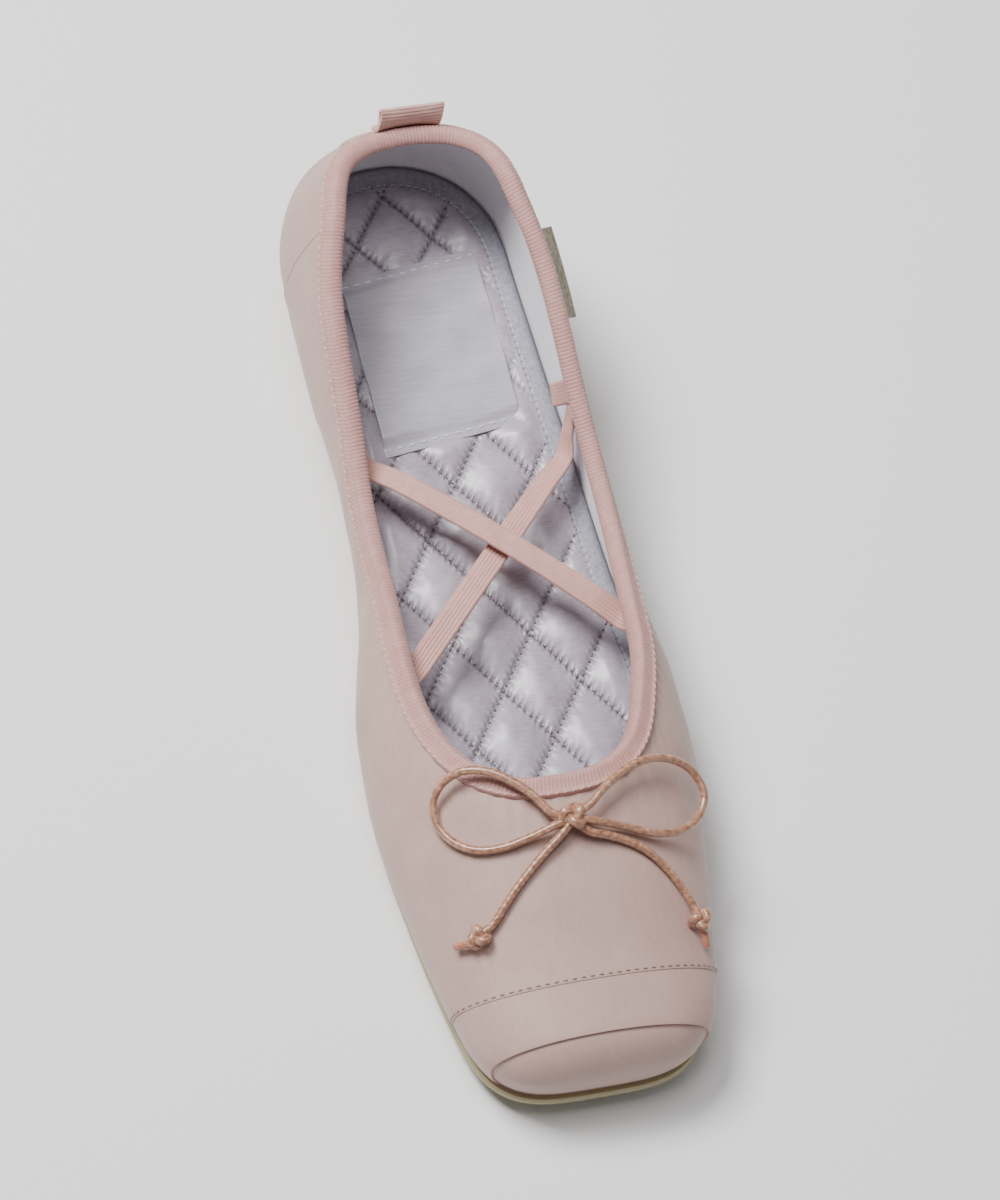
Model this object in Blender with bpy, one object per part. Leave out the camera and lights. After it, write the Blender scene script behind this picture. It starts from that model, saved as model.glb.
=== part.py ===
"""Ballet flat, left shoe: a soft satin slip-on with a bound topline, crossed elastics and a cord bow.

Every length in this file is in millimetres, and new_object() turns it into metres.
The toe points along -Y and the shoe's outer (lateral) side is +X.
The origin is on the ground, in the middle of the heel's flat spot.

The last is a family of cross sections. A "station" is the distance from the heel's back along the shoe.
Each section has a feather line, where the upper meets the sole, a belly, where it is widest, and a crown,
where its two sides would meet if the shoe had no opening.
"""
import math

import bmesh
import bpy
import numpy as np

MM = 0.001

# ---------------------------------------------------------------- driving dimensions

LENGTH = 250.0          # heel back to toe tip
HEEL_BACK_Y = 32.0      # so that y = 0 is the middle of the heel's flat spot
WALL = 2.0              # satin, foam and lining together
GAP = 0.3               # between two pieces that are sewn or glued together

# One row for each section of the last.
LAST_COLUMNS = ("station", "medial", "lateral", "tuck", "feather", "belly", "crown")
LAST_SECTIONS = (
    (0.0, 30.6, 29.4, 4.0, 11.0, 18.0, 80.0),
    (30.0, 30.6, 29.4, 4.0, 11.0, 18.0, 80.0),
    (60.0, 30.4, 30.8, 4.0, 10.5, 18.0, 84.0),
    (90.0, 28.8, 32.8, 4.0, 9.0, 17.0, 62.0),
    (120.0, 30.4, 34.8, 3.5, 7.0, 15.0, 51.5),
    (150.0, 37.2, 38.8, 3.0, 5.0, 13.0, 49.2),
    (175.0, 38.5, 39.7, 2.3, 4.2, 12.0, 46.8),
    (200.0, 35.8, 36.2, 2.0, 4.6, 11.0, 40.2),
    (225.0, 32.4, 32.6, 2.0, 6.0, 10.0, 32.9),
    (250.0, 31.6, 31.8, 2.2, 8.5, 9.0, 28.6),
)
SECTION_POWER = 2.1     # 2 is an ellipse, more is squarer
HEEL_RADIUS = 32.0      # length of the heel's rounding, and how square it is
HEEL_POWER = 2.1
TOE_RADIUS = 46.0
TOE_POWER = 3.6
TIP_RADIUS = 9.0        # rounding of the toe's face, seen from the side
TIP_POWER = 2.4
HEEL_LEAN = 15.7        # how far the collar's back leans in over the heel
HEEL_LEAN_RISE = 32.0   # over this height above the belly
HEEL_LEAN_REACH = 95.0  # fading out at this station
TOE_FACE_LEAN = 1.4     # how far the toe's face leans back above the belly
TOE_FACE_RISE = 12.0
TOE_FACE_REACH = 60.0

# The topline: its height at stations along the sides, then a rounded throat.
TOPLINE_COLUMNS = ("station", "height")
TOPLINE = (
    (0.0, 62.8),
    (25.0, 65.2),
    (60.0, 53.8),
    (100.0, 35.8),
    (145.0, 39.3),
)
THROAT_START = 145.0
THROAT_STATION = 184.2
THROAT_POWER = 2.4
THROAT_SHIFT = -0.7     # the throat's middle lies on the medial side of the last's line
THROAT_PINCH = 1.8      # how far the lateral side of the throat is drawn in

# Outsole: one row for each change in its underside.
GROUND_COLUMNS = ("station", "lift")
GROUND = (
    (0.0, 1.0),
    (7.0, 0.0),
    (58.0, 0.0),
    (64.0, 2.4),
    (95.0, 2.2),
    (146.0, 0.0),
    (190.0, 0.0),
    (215.0, 1.2),
    (235.0, 3.0),
    (250.0, 5.0),
)
# How far the sole's edge stands out past the feather line. It hides under the upper except at the toe.
MARGIN_COLUMNS = ("station", "out")
MARGIN = (
    (0.0, -0.8),
    (60.0, -1.0),
    (130.0, -0.7),
    (190.0, -0.3),
    (225.0, 0.35),
    (250.0, 0.9),
)
SOLE_EDGE_ROUND = 1.0
SOLE_EDGE_BULGE = 0.3
SOLE_FOOT_DRAFT = 0.2

# Insole: padded, with a quilted sock.
INSOLE_COLUMNS = ("station", "thickness")
INSOLE = (
    (0.0, 9.5),
    (60.0, 9.5),
    (120.0, 8.5),
    (190.0, 6.5),
    (250.0, 5.0),
)
INSOLE_SIDE_GAP = 0.4
INSOLE_EDGE_DROP = 1.0      # from the padding's shoulder down to its straight edge
INSOLE_SHOULDER = 0.8       # and how far in from that edge the shoulder lies
INSOLE_DOME = 0.8       # how far the padding stands above its own edge
INSOLE_DOME_INSET = 4.0

# Binding: an elastic channel folded over the upper's edge.
BINDING_LEAF = 4.2
BINDING_THICKNESS = 0.9

# Crossed elastics: each end is sewn flat on the lining, and its tail runs on towards the nearer end.
STRAP_WIDTH = 6.0
STRAP_THICKNESS = 1.2
# Name, side, then the root's station and depth, then the tail's.
STRAP_ENDS = (
    ("cross_strap_over", -1, 91.4, 8.2, 84.9, 14.0),
    ("cross_strap_over", 1, 136.6, 8.5, 142.8, 14.0),
    ("cross_strap_under", -1, 148.8, 8.5, 154.8, 14.0),
    ("cross_strap_under", 1, 94.2, 8.2, 83.5, 13.0),
)
STRAP_RISE = {"cross_strap_over": 3.0, "cross_strap_under": -0.4}
STRAP_ROOT_LIFT = 2.0   # how much a root faces up rather than inwards
STRAP_TURN_SHARE = 0.3  # how much of the stand-off the middle of a root has
STRAP_STAND_OFF = 1.9   # how far a root stands in from the wall where it turns into the open
STRAP_LAY = 0.9         # between the lining and a root that lies on it

# Heel pull tab: a folded tape standing up behind the collar.
PULL_TAB_WIDTH = 15.5
PULL_TAB_THICKNESS = 0.7
PULL_TAB_RISE = 7.7
PULL_TAB_DEPTH = 5.5
PULL_TAB_OPENING = 1.6
PULL_TAB_CLEARANCE = 0.5

# Side tab: a folded woven tape in the binding's outer seam, left bare.
SIDE_TAB_FROM = 45.0
SIDE_TAB_TO = 67.0
SIDE_TAB_THICKNESS = 1.0
SIDE_TAB_TOP_DEPTH = 4.7
SIDE_TAB_BOTTOM_DEPTH = 12.0
SIDE_TAB_FLARE = 4.0

# Bow: one round satin cord, tied in front of the throat. Routes are chosen by hand: x, y, z.
CORD_DIAMETER = 2.2
CORD_SPACING = 2.4      # a point every so many diameters
KNOT_CENTRE = (0.9, -162.4, 45.2)
KNOT_SIZE = (9.0, 5.8, 6.0)
BOW_ROUTES = {
    "bow_loop_medial": (
        (-3.8, -161.3, 46.1), (-7.3, -156.9, 47.2), (-11.5, -152.7, 47.8), (-17.0, -148.7, 47.3),
        (-22.5, -147.1, 45.8), (-27.0, -148.1, 42.8), (-29.3, -150.9, 39.2), (-29.3, -154.9, 37.3),
        (-27.0, -159.8, 37.1), (-21.9, -164.1, 38.6), (-16.4, -165.3, 40.4), (-10.5, -164.9, 42.4),
        (-3.7, -163.7, 44.9),
    ),
    "bow_loop_lateral": (
        (5.5, -160.2, 46.3), (8.4, -157.8, 46.8), (12.1, -155.2, 47.1), (17.5, -152.4, 46.8),
        (23.3, -151.0, 45.4), (29.0, -151.5, 42.6), (33.4, -153.9, 39.0), (35.0, -158.2, 36.4),
        (32.9, -162.7, 35.6), (28.3, -166.2, 36.8), (20.7, -167.3, 39.3), (12.8, -165.5, 42.1),
        (5.6, -164.0, 44.7),
    ),
    "bow_tail_medial": (
        (-2.0, -165.3, 44.0), (-6.9, -168.6, 41.6), (-10.9, -171.6, 39.7), (-15.0, -175.0, 37.7),
        (-18.3, -178.2, 35.8), (-21.5, -181.2, 33.9),
    ),
    "bow_tail_lateral": (
        (3.8, -165.8, 43.6), (9.4, -167.2, 41.6), (14.7, -169.1, 39.5), (19.2, -172.0, 37.3),
        (22.7, -175.7, 34.7), (25.5, -179.8, 32.3), (27.1, -183.3, 30.7),
    ),
}
# Each tail's end knot: where it starts, its middle, where it ends, and its short frayed tip.
END_KNOT_ROUTES = {
    "bow_end_knot_medial": (
        (-21.8, -181.4, 33.8), (-24.8, -183.3, 32.3), (-27.0, -184.2, 30.6), (-30.3, -184.0, 26.8),
    ),
    "bow_end_knot_lateral": (
        (27.2, -183.6, 30.6), (28.3, -186.8, 29.4), (28.7, -189.2, 28.1), (28.7, -192.4, 26.0),
    ),
}
END_KNOT_PROFILE = ((0.0, 0.5), (0.12, 0.86), (0.34, 1.0), (0.56, 0.86), (0.68, 0.5), (1.0, 0.44))
END_KNOT_RADIUS = 2.3
END_KNOT_SIDES = 10

# ---------------------------------------------------------------- mesh density

COLUMNS_PER_SIDE = 42
STRAIGHT_COLUMNS = (60.0, 115.0)    # stations at which a column stands straight across the wall
LEAF_ROWS = 2
SIDE_ROWS = 6
MIDDLE_ROW = 0.45      # height of the row between belly and feather line, as a share
OUTLINE_SAMPLES = 400


# ---------------------------------------------------------------- the last

def table_column(rows, columns, name):
    """One named column of a table, as an array."""
    index = columns.index(name)
    return np.array([row[index] for row in rows], dtype=float)


def smooth(x, y, at):
    """A smooth curve through the points (x, y), read at other places."""
    step = np.diff(x)
    slope = np.diff(y) / step
    tangent = np.empty_like(y)
    tangent[0] = slope[0]
    tangent[-1] = slope[-1]
    tangent[1:-1] = (step[1:] * slope[:-1] + step[:-1] * slope[1:]) / (step[1:] + step[:-1])
    at = np.clip(at, x[0], x[-1])
    i = np.clip(np.searchsorted(x, at) - 1, 0, len(step) - 1)
    t = (at - x[i]) / step[i]
    value = y[i] * (2 * t**3 - 3 * t**2 + 1) + y[i + 1] * (3 * t**2 - 2 * t**3)
    return value + step[i] * (tangent[i] * (t**3 - 2 * t**2 + t) + tangent[i + 1] * (t**3 - t**2))


def smooth_table(rows, columns, name, station):
    """A smooth curve through one column of a table, read at a station."""
    return smooth(table_column(rows, columns, columns[0]), table_column(rows, columns, name), station)


def last(name, station):
    return smooth_table(LAST_SECTIONS, LAST_COLUMNS, name, station)


def quarter(u, power):
    """A quarter of a superellipse: 1 at u = 0 and 0 at u = 1."""
    u = np.clip(u, 0.0, 1.0)
    return (1.0 - u**power) ** (1.0 / power)


def half_width(side, station):
    """Half width at the belly. side is -1 for medial and 1 for lateral."""
    width = np.where(np.asarray(side) < 0, last("medial", station), last("lateral", station))
    heel = quarter(1.0 - station / HEEL_RADIUS, HEEL_POWER)
    toe = quarter(1.0 - (LENGTH - station) / TOE_RADIUS, TOE_POWER)
    return width * heel * toe


def belly_height(station):
    return last("feather", station) + last("belly", station)


def crown_height(station):
    belly = belly_height(station)
    tip = quarter(1.0 - (LENGTH - station) / TIP_RADIUS, TIP_POWER)
    return belly + (last("crown", station) - belly) * tip


def lean(station, height):
    """How far a point of the upper is moved towards the toe."""
    above = np.maximum(height - belly_height(station), 0.0)
    heel_fade = np.clip(1.0 - station / HEEL_LEAN_REACH, 0.0, 1.0) ** 3
    toe_fade = np.clip(1.0 - (LENGTH - station) / TOE_FACE_REACH, 0.0, 1.0) ** 2
    heel = HEEL_LEAN * (above / HEEL_LEAN_RISE) ** 1.5
    toe = TOE_FACE_LEAN * np.minimum(above / TOE_FACE_RISE, 1.2) ** 1.5
    return heel * heel_fade - toe * toe_fade


def last_point(station, turn):
    """A point on the last above its belly.

    turn goes from 0 at the medial belly, over the crown at a right angle, to pi at the lateral belly.
    """
    station = np.clip(np.asarray(station, float), 0.0, LENGTH)
    turn = np.asarray(turn, float)
    side = np.where(turn < math.pi / 2, -1.0, 1.0)
    across = np.abs(np.cos(turn)) ** (2.0 / SECTION_POWER)
    up = np.abs(np.sin(turn)) ** (2.0 / SECTION_POWER)
    belly = belly_height(station)
    height = belly + (crown_height(station) - belly) * up
    x = side * half_width(side, station) * across
    return np.stack([x, HEEL_BACK_Y - station - lean(station, height), height], axis=-1)


def turn_at_height(side, station, height):
    """The turn at which a section reaches a height."""
    belly = belly_height(station)
    share = np.clip((height - belly) / (crown_height(station) - belly), 0.0, 1.0)
    turn = np.arcsin(share ** (SECTION_POWER / 2.0))
    return turn if side < 0 else math.pi - turn


def turn_at_width(x, station):
    """The turn at which a section is x wide of its middle."""
    width = np.maximum(half_width(np.sign(x), station), 1e-9)
    share = np.clip(np.abs(x) / width, 0.0, 1.0)
    turn = np.arccos(share ** (SECTION_POWER / 2.0))
    return np.where(np.asarray(x) < 0, turn, math.pi - turn)


def walk(station, turn, direction, distance, steps=6):
    """Walk over the last from a point, in a direction, and return the station and turn reached."""
    h = 0.01
    for _ in range(steps):
        here = last_point(station, turn)
        ahead = last_point(station + h, turn)
        behind = last_point(station - h, turn)
        along = (ahead - behind) / (2 * h)
        if station < h:
            along = (ahead - here) / h
        around = (last_point(station, turn + h) - last_point(station, turn - h)) / (2 * h)
        normal = np.cross(along, around)
        normal /= np.linalg.norm(normal)
        heading = direction - normal * np.dot(direction, normal)
        heading /= np.linalg.norm(heading)
        jacobian = np.stack([along, around], axis=-1)
        change, *_ = np.linalg.lstsq(jacobian, heading * distance / steps, rcond=None)
        station = max(station + change[0], 0.0)
        turn = turn + change[1]
    return station, turn


# ---------------------------------------------------------------- columns and rows round the shoe

def polyline_length(points):
    """The length reached at each point of a polyline."""
    return np.concatenate([[0.0], np.cumsum(np.linalg.norm(np.diff(points, axis=0), axis=1))])


def belly_stations():
    """The columns' stations at the belly, heel to toe, evenly spread along the outline."""
    angle = np.linspace(0.0, math.pi / 2, OUTLINE_SAMPLES)
    heel = HEEL_RADIUS * (1.0 - np.cos(angle) ** (2.0 / HEEL_POWER))
    toe = LENGTH - TOE_RADIUS * (1.0 - np.sin(angle) ** (2.0 / TOE_POWER))
    sides = np.linspace(HEEL_RADIUS, LENGTH - TOE_RADIUS, OUTLINE_SAMPLES)
    stations = np.concatenate([heel, sides[1:], toe[1:]])
    width = (half_width(-1, stations) + half_width(1, stations)) / 2.0
    length = polyline_length(np.stack([width, stations], axis=-1))
    return np.interp(np.linspace(0.0, length[-1], COLUMNS_PER_SIDE + 1), length, stations)


def topline_turn(side, station):
    """Where the topline crosses a section: by height along the sides, by width round the throat."""
    row = min(station, THROAT_START)
    height = smooth_table(TOPLINE, TOPLINE_COLUMNS, "height", row)
    turn = turn_at_height(side, row, height)
    if station <= THROAT_START:
        return float(turn)
    start = abs(last_point(THROAT_START, turn)[0])
    u = (station - THROAT_START) / (THROAT_STATION - THROAT_START)
    x = side * start * quarter(u, THROAT_POWER) + THROAT_SHIFT * u**2
    if side > 0:
        x -= THROAT_PINCH * math.sin(math.pi * u) ** 2
    return float(turn_at_width(x, station))


def topline_stations(belly):
    """The columns' stations at the topline: straight across at the heel, fanning out round the throat."""
    angle = np.linspace(0.0, math.pi / 2, OUTLINE_SAMPLES)
    heel = HEEL_RADIUS * (1.0 - np.cos(angle) ** (2.0 / HEEL_POWER))
    throat = THROAT_START + (THROAT_STATION - THROAT_START) * np.sin(angle) ** (2.0 / THROAT_POWER)
    sides = np.linspace(HEEL_RADIUS, THROAT_START, OUTLINE_SAMPLES)
    stations = np.concatenate([heel, sides[1:], throat[1:]])
    points = np.array([last_point(s, topline_turn(-1, s)) for s in stations])
    length = polyline_length(points)
    column = np.arange(COLUMNS_PER_SIDE + 1, dtype=float)
    knots = np.interp([0.0, *STRAIGHT_COLUMNS, LENGTH], belly, column)
    reached = np.append(np.interp([0.0, *STRAIGHT_COLUMNS], stations, length), length[-1])
    return np.interp(smooth(knots, reached, column), length, stations)


def surface_normal(station, turn):
    """The outward normal of the last."""
    h = 0.02
    station = min(max(station, h), LENGTH - h)
    along = last_point(station + h, turn) - last_point(station - h, turn)
    around = last_point(station, turn + h) - last_point(station, turn - h)
    normal = np.cross(along, around)
    return normal / np.linalg.norm(normal)


def topline_direction(side, station):
    """The direction of the topline, heel to toe on the medial side and toe to heel on the lateral."""
    h = 0.5
    before = max(station - h, 0.0)
    after = min(station + h, THROAT_STATION)
    a = last_point(before, topline_turn(side, before))
    b = last_point(after, topline_turn(side, after))
    direction = (b - a) * -side
    return direction / np.linalg.norm(direction)


def wall_point(side, station, depth, out):
    """A point on the wall, depth below the topline and out from its outer face, with that face's axes."""
    turn = topline_turn(side, station)
    along = topline_direction(side, station)
    down = np.cross(along, surface_normal(station, turn))
    if down[2] > 0:
        down = -down
    reached = walk(station, turn, down, depth) if depth > 0 else (station, turn)
    normal = surface_normal(*reached)
    down = np.cross(along, normal)
    if down[2] > 0:
        down = -down
    return last_point(*reached) + normal * out, normal, down / np.linalg.norm(down), along


# ---------------------------------------------------------------- rows of points for each piece

def below_topline(side, station, depth):
    """The station and turn at a depth below the topline, square to it."""
    turn = topline_turn(side, station)
    down = np.cross(topline_direction(side, station), surface_normal(station, turn))
    if down[2] > 0:
        down = -down
    return walk(station, turn, down, depth)


def signed_power(value, power):
    return np.sign(value) * np.abs(value) ** power


def wall_column(side, top_station, bottom_station):
    """Points from the topline to the belly: the topline, the binding's leaf, then even rows."""
    points = [last_point(top_station, topline_turn(side, top_station))]
    for row in range(1, LEAF_ROWS + 1):
        station, turn = below_topline(side, top_station, BINDING_LEAF * row / LEAF_ROWS)
        if bottom_station == 0.0:
            station = 0.0
        points.append(last_point(station, turn))
    x_top = last_point(station, turn)[0]
    x_bottom = side * float(half_width(side, bottom_station))
    from_belly = turn if side < 0 else math.pi - turn
    share_top = signed_power(math.cos(from_belly), 2.0 / SECTION_POWER)
    for row in range(1, SIDE_ROWS + 1):
        angle = from_belly * (1.0 - row / SIDE_ROWS)
        share = signed_power(math.cos(angle), 2.0 / SECTION_POWER)
        part = (share - share_top) / (1.0 - share_top)
        s = station + (bottom_station - station) * part
        x = x_top + (x_bottom - x_top) * part
        row_turn = float(turn_at_width(x, s))
        if bottom_station == 0.0:
            s = 0.0
            row_turn = angle
        points.append(last_point(s, row_turn))
    return points


def around(values):
    """Columns of both sides as one loop: medial heel to toe, then lateral toe to heel."""
    medial, lateral = values
    return np.concatenate([medial, lateral[-2:0:-1]])


def plan_normals(loop):
    """Outward normals, in plan, of a closed loop."""
    tangent = np.roll(loop, -1, axis=0) - np.roll(loop, 1, axis=0)
    normal = np.stack([tangent[:, 1], -tangent[:, 0], np.zeros(len(loop))], axis=-1)
    normal /= np.linalg.norm(normal, axis=1)[:, None]
    middle = loop.mean(axis=0)
    if np.sum((loop - middle) * normal) < 0:
        normal = -normal
    return normal


def lower_loop(belly_loop, stations, height, inset=0.0):
    """The last's outline at a height above the feather line, set in by a distance."""
    belly_rise = last("belly", stations)
    below = np.clip(1.0 - height / belly_rise, 0.0, 1.0)
    loop = belly_loop - plan_normals(belly_loop) * (last("tuck", stations) * below**2 + inset)[:, None]
    loop[:, 2] = last("feather", stations) + height
    return loop


def grid_normals(grid):
    """Outward normals of a grid of columns round the shoe and rows from the topline down."""
    along = np.roll(grid, -1, axis=0) - np.roll(grid, 1, axis=0)
    down = np.gradient(grid, axis=1)
    normal = np.cross(down, along)
    return normal / np.linalg.norm(normal, axis=2)[:, :, None]


def shoe_grid():
    """The upper's outer face, its normals, the belly loop and each column's station."""
    bottom = belly_stations()
    top = topline_stations(bottom)
    sides = []
    for side in (-1, 1):
        columns = []
        for top_station, bottom_station in zip(top, bottom):
            columns.append(wall_column(side, top_station, bottom_station))
        sides.append(np.array(columns))
    wall = around(sides)
    stations = around((bottom, bottom))
    belly_loop = wall[:, -1].copy()
    middle = lower_loop(belly_loop, stations, last("belly", stations) * MIDDLE_ROW)
    feather = lower_loop(belly_loop, stations, np.zeros(len(stations)))
    grid = np.concatenate([wall, middle[:, None], feather[:, None]], axis=1)
    normals = grid_normals(grid)
    normals[:, -1] = plan_normals(feather)
    return grid, normals, belly_loop, stations


# ---------------------------------------------------------------- mesh making

def material(name, colour, roughness, metallic=0.0):
    made = bpy.data.materials.new(name)
    made.use_nodes = True
    shader = made.node_tree.nodes["Principled BSDF"]
    shader.inputs["Base Color"].default_value = (*colour, 1.0)
    shader.inputs["Roughness"].default_value = roughness
    shader.inputs["Metallic"].default_value = metallic
    return made


def new_object(name, points, faces, finish):
    """A shaded mesh object from points in millimetres."""
    mesh = bpy.data.meshes.new(name)
    mesh.from_pydata([tuple(float(c) * MM for c in p) for p in points], [], faces)
    mesh.validate()
    shaped = bmesh.new()
    shaped.from_mesh(mesh)
    bmesh.ops.recalc_face_normals(shaped, faces=shaped.faces)
    shaped.to_mesh(mesh)
    shaped.free()
    mesh.shade_smooth()
    mesh.materials.append(finish)
    made = bpy.data.objects.new(name, mesh)
    bpy.context.scene.collection.objects.link(made)
    return made


def ring_object(name, grid, finish):
    """A closed ring: columns go round the shoe, and each column is a closed profile."""
    columns, rows = grid.shape[:2]
    faces = []
    for c in range(columns):
        for r in range(rows):
            across = (c + 1) % columns
            below = (r + 1) % rows
            faces.append((c * rows + r, across * rows + r, across * rows + below, c * rows + below))
    return new_object(name, grid.reshape(-1, 3), faces, finish)


def slab_object(name, loops, finish):
    """A solid between a top and a bottom outline; both ends are closed by rungs across the shoe."""
    count = len(loops[0])
    half = count // 2
    faces = []
    for level in range(len(loops) - 1):
        for c in range(count):
            across = (c + 1) % count
            low = (level + 1) * count
            high = level * count
            faces.append((high + c, high + across, low + across, low + c))
    for base in (0, (len(loops) - 1) * count):
        faces.append((base, base + 1, base + count - 1))
        faces.append((base + half - 1, base + half, base + half + 1))
        for c in range(1, half - 1):
            faces.append((base + c, base + c + 1, base + count - c - 1, base + count - c))
    return new_object(name, np.concatenate(loops), faces, finish)


def strip_object(name, sections, finish):
    """A solid swept through equal closed sections, with flat ends."""
    sections = np.asarray(sections)
    count, corners = sections.shape[:2]
    faces = [tuple(range(corners)), tuple((count - 1) * corners + i for i in range(corners))]
    for c in range(count - 1):
        for i in range(corners):
            j = (i + 1) % corners
            faces.append((c * corners + i, (c + 1) * corners + i, (c + 1) * corners + j, c * corners + j))
    return new_object(name, sections.reshape(-1, 3), faces, finish)


# ---------------------------------------------------------------- the pieces

def make_upper(grid, normals, finish):
    """The hollow upper: outer face down, inner face up, open at the collar and underneath."""
    inner = grid - normals * WALL
    inner[:, -1, 2] = grid[:, -1, 2]
    return ring_object("upper", np.concatenate([grid, inner[:, ::-1]], axis=1), finish)


def make_outsole(belly_loop, stations, finish):
    """The rubber outsole, with a low heel, a lifted waist and toe spring."""
    none = np.zeros(len(stations))
    margin = smooth_table(MARGIN, MARGIN_COLUMNS, "out", stations)
    top = lower_loop(belly_loop, stations, none, -margin)
    top[:, 2] -= GAP
    ground = smooth_ground(stations)
    edge = lower_loop(belly_loop, stations, none, -margin - SOLE_EDGE_BULGE)
    edge[:, 2] = (top[:, 2] + ground) / 2.0
    low = lower_loop(belly_loop, stations, none, -margin + SOLE_FOOT_DRAFT)
    low[:, 2] = ground + SOLE_EDGE_ROUND
    foot = lower_loop(belly_loop, stations, none, -margin + SOLE_EDGE_ROUND)
    foot[:, 2] = ground
    return slab_object("outsole", [top, edge, low, foot], finish)


def smooth_ground(stations):
    """The underside's height, straight between the table's rows so that the flat spots are flat."""
    rows = table_column(GROUND, GROUND_COLUMNS, "station")
    return np.interp(stations, rows, table_column(GROUND, GROUND_COLUMNS, "lift"))


def make_insole(belly_loop, stations, finish):
    """The padded insole, from the outsole's top to a slightly domed face inside the walls."""
    none = np.zeros(len(stations))
    thickness = smooth_table(INSOLE, INSOLE_COLUMNS, "thickness", stations)
    side = WALL + INSOLE_SIDE_GAP
    bottom = lower_loop(belly_loop, stations, none + GAP, side)
    edge = lower_loop(belly_loop, stations, thickness - INSOLE_EDGE_DROP, side)
    shoulder = lower_loop(belly_loop, stations, thickness, side + INSOLE_SHOULDER)
    dome = lower_loop(belly_loop, stations, thickness, side + INSOLE_DOME_INSET)
    dome[:, 2] += INSOLE_DOME
    return slab_object("insole", [dome, shoulder, edge, bottom], finish)


def make_binding(grid, normals, finish):
    """The topline binding: a channel folded over the upper's edge, one leaf outside and one inside."""
    rim = grid[:, 0]
    out_rim = normals[:, 0]
    rise = rim - grid[:, 1]
    rise /= np.linalg.norm(rise, axis=1)[:, None]
    reach = GAP + BINDING_THICKNESS
    middle = -WALL / 2.0
    leaf = range(1, LEAF_ROWS + 1)
    profile = [grid[:, row] + normals[:, row] * GAP for row in reversed(leaf)]
    profile.append(rim + (out_rim + rise) * GAP)
    profile.append(rim - out_rim * (WALL + GAP) + rise * GAP)
    profile.extend(grid[:, row] - normals[:, row] * (WALL + GAP) for row in leaf)
    profile.extend(grid[:, row] - normals[:, row] * (WALL + reach) for row in reversed(leaf))
    for degrees in (180.0, 130.0, 90.0, 50.0, 0.0):
        angle = math.radians(degrees)
        across = middle + (WALL / 2.0 + reach) * math.cos(angle)
        profile.append(rim + out_rim * across + rise * reach * math.sin(angle))
    profile.extend(grid[:, row] + normals[:, row] * reach for row in leaf)
    return ring_object("topline_binding", np.stack(profile, axis=1), finish)


def smooth_route(points, count):
    """Points spread evenly along a smooth curve through a route."""
    points = np.asarray(points, float)
    reach = polyline_length(points)
    dense = np.linspace(0.0, reach[-1], 40 * len(points))
    curve = np.stack([smooth(reach, points[:, axis], dense) for axis in range(3)], axis=-1)
    length = polyline_length(curve)
    even = np.linspace(0.0, length[-1], count)
    return np.stack([np.interp(even, length, curve[:, axis]) for axis in range(3)], axis=-1), length[-1]


def strap_route(name):
    """The centre line of a crossed elastic and the direction that its upper face looks in."""
    ends = [row for row in STRAP_ENDS if row[0] == name]
    flat = -(WALL + STRAP_LAY + STRAP_THICKNESS / 2.0)
    up = np.array([0.0, 0.0, 1.0])
    points = []
    facing = []
    for _, side, root_station, root_depth, tail_station, tail_depth in ends:
        tail, tail_out, _, _ = wall_point(side, tail_station, tail_depth, flat)
        turn, turn_out, _, _ = wall_point(side, (root_station + tail_station) / 2.0,
                                          (root_depth + tail_depth) / 2.0, flat - STRAP_STAND_OFF * STRAP_TURN_SHARE)
        root, root_out, _, _ = wall_point(side, root_station, root_depth, flat - STRAP_STAND_OFF)
        half = [(tail, tail_out), (turn, turn_out), (root, root_out + up * STRAP_ROOT_LIFT)]
        if side > 0:
            half = half[::-1]
        points.append([p for p, _ in half])
        facing.append([f for _, f in half])
    start = points[0][-1]
    end = points[1][0]
    middle = []
    for share in (0.12, 0.32, 0.5, 0.68, 0.88):
        rise = STRAP_RISE[name] * 4.0 * share * (1.0 - share)
        middle.append(start + (end - start) * share + up * rise)
    route = [*points[0], *middle, *points[1]]
    looks = [*facing[0], *([up] * len(middle)), *facing[1]]
    return np.array(route), np.array(looks)


def make_strap(name, finish):
    """A flat elastic, swept with its width square to its own path."""
    route, looks = strap_route(name)
    count = 26
    points, _ = smooth_route(route, count)
    reach = polyline_length(route)
    places = np.linspace(0.0, reach[-1], count)
    facing = np.stack([np.interp(places, reach, looks[:, axis]) for axis in range(3)], axis=-1)
    ahead = np.gradient(points, axis=0)
    width = np.cross(facing, ahead)
    width /= np.linalg.norm(width, axis=1)[:, None]
    thick = np.cross(ahead, width)
    thick /= np.linalg.norm(thick, axis=1)[:, None]
    sections = []
    for sign_w, sign_t in ((-1, -1), (1, -1), (1, 1), (-1, 1)):
        sections.append(points + width * sign_w * STRAP_WIDTH / 2.0 + thick * sign_t * STRAP_THICKNESS / 2.0)
    return strip_object(name, np.stack(sections, axis=1), finish)


def topline_station_at(side, x):
    """The station near the heel at which the topline is x wide of the middle."""
    low = 0.0
    high = 20.0
    for _ in range(40):
        middle = (low + high) / 2.0
        if abs(last_point(middle, topline_turn(side, middle))[0]) < x:
            low = middle
        else:
            high = middle
    return low


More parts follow.
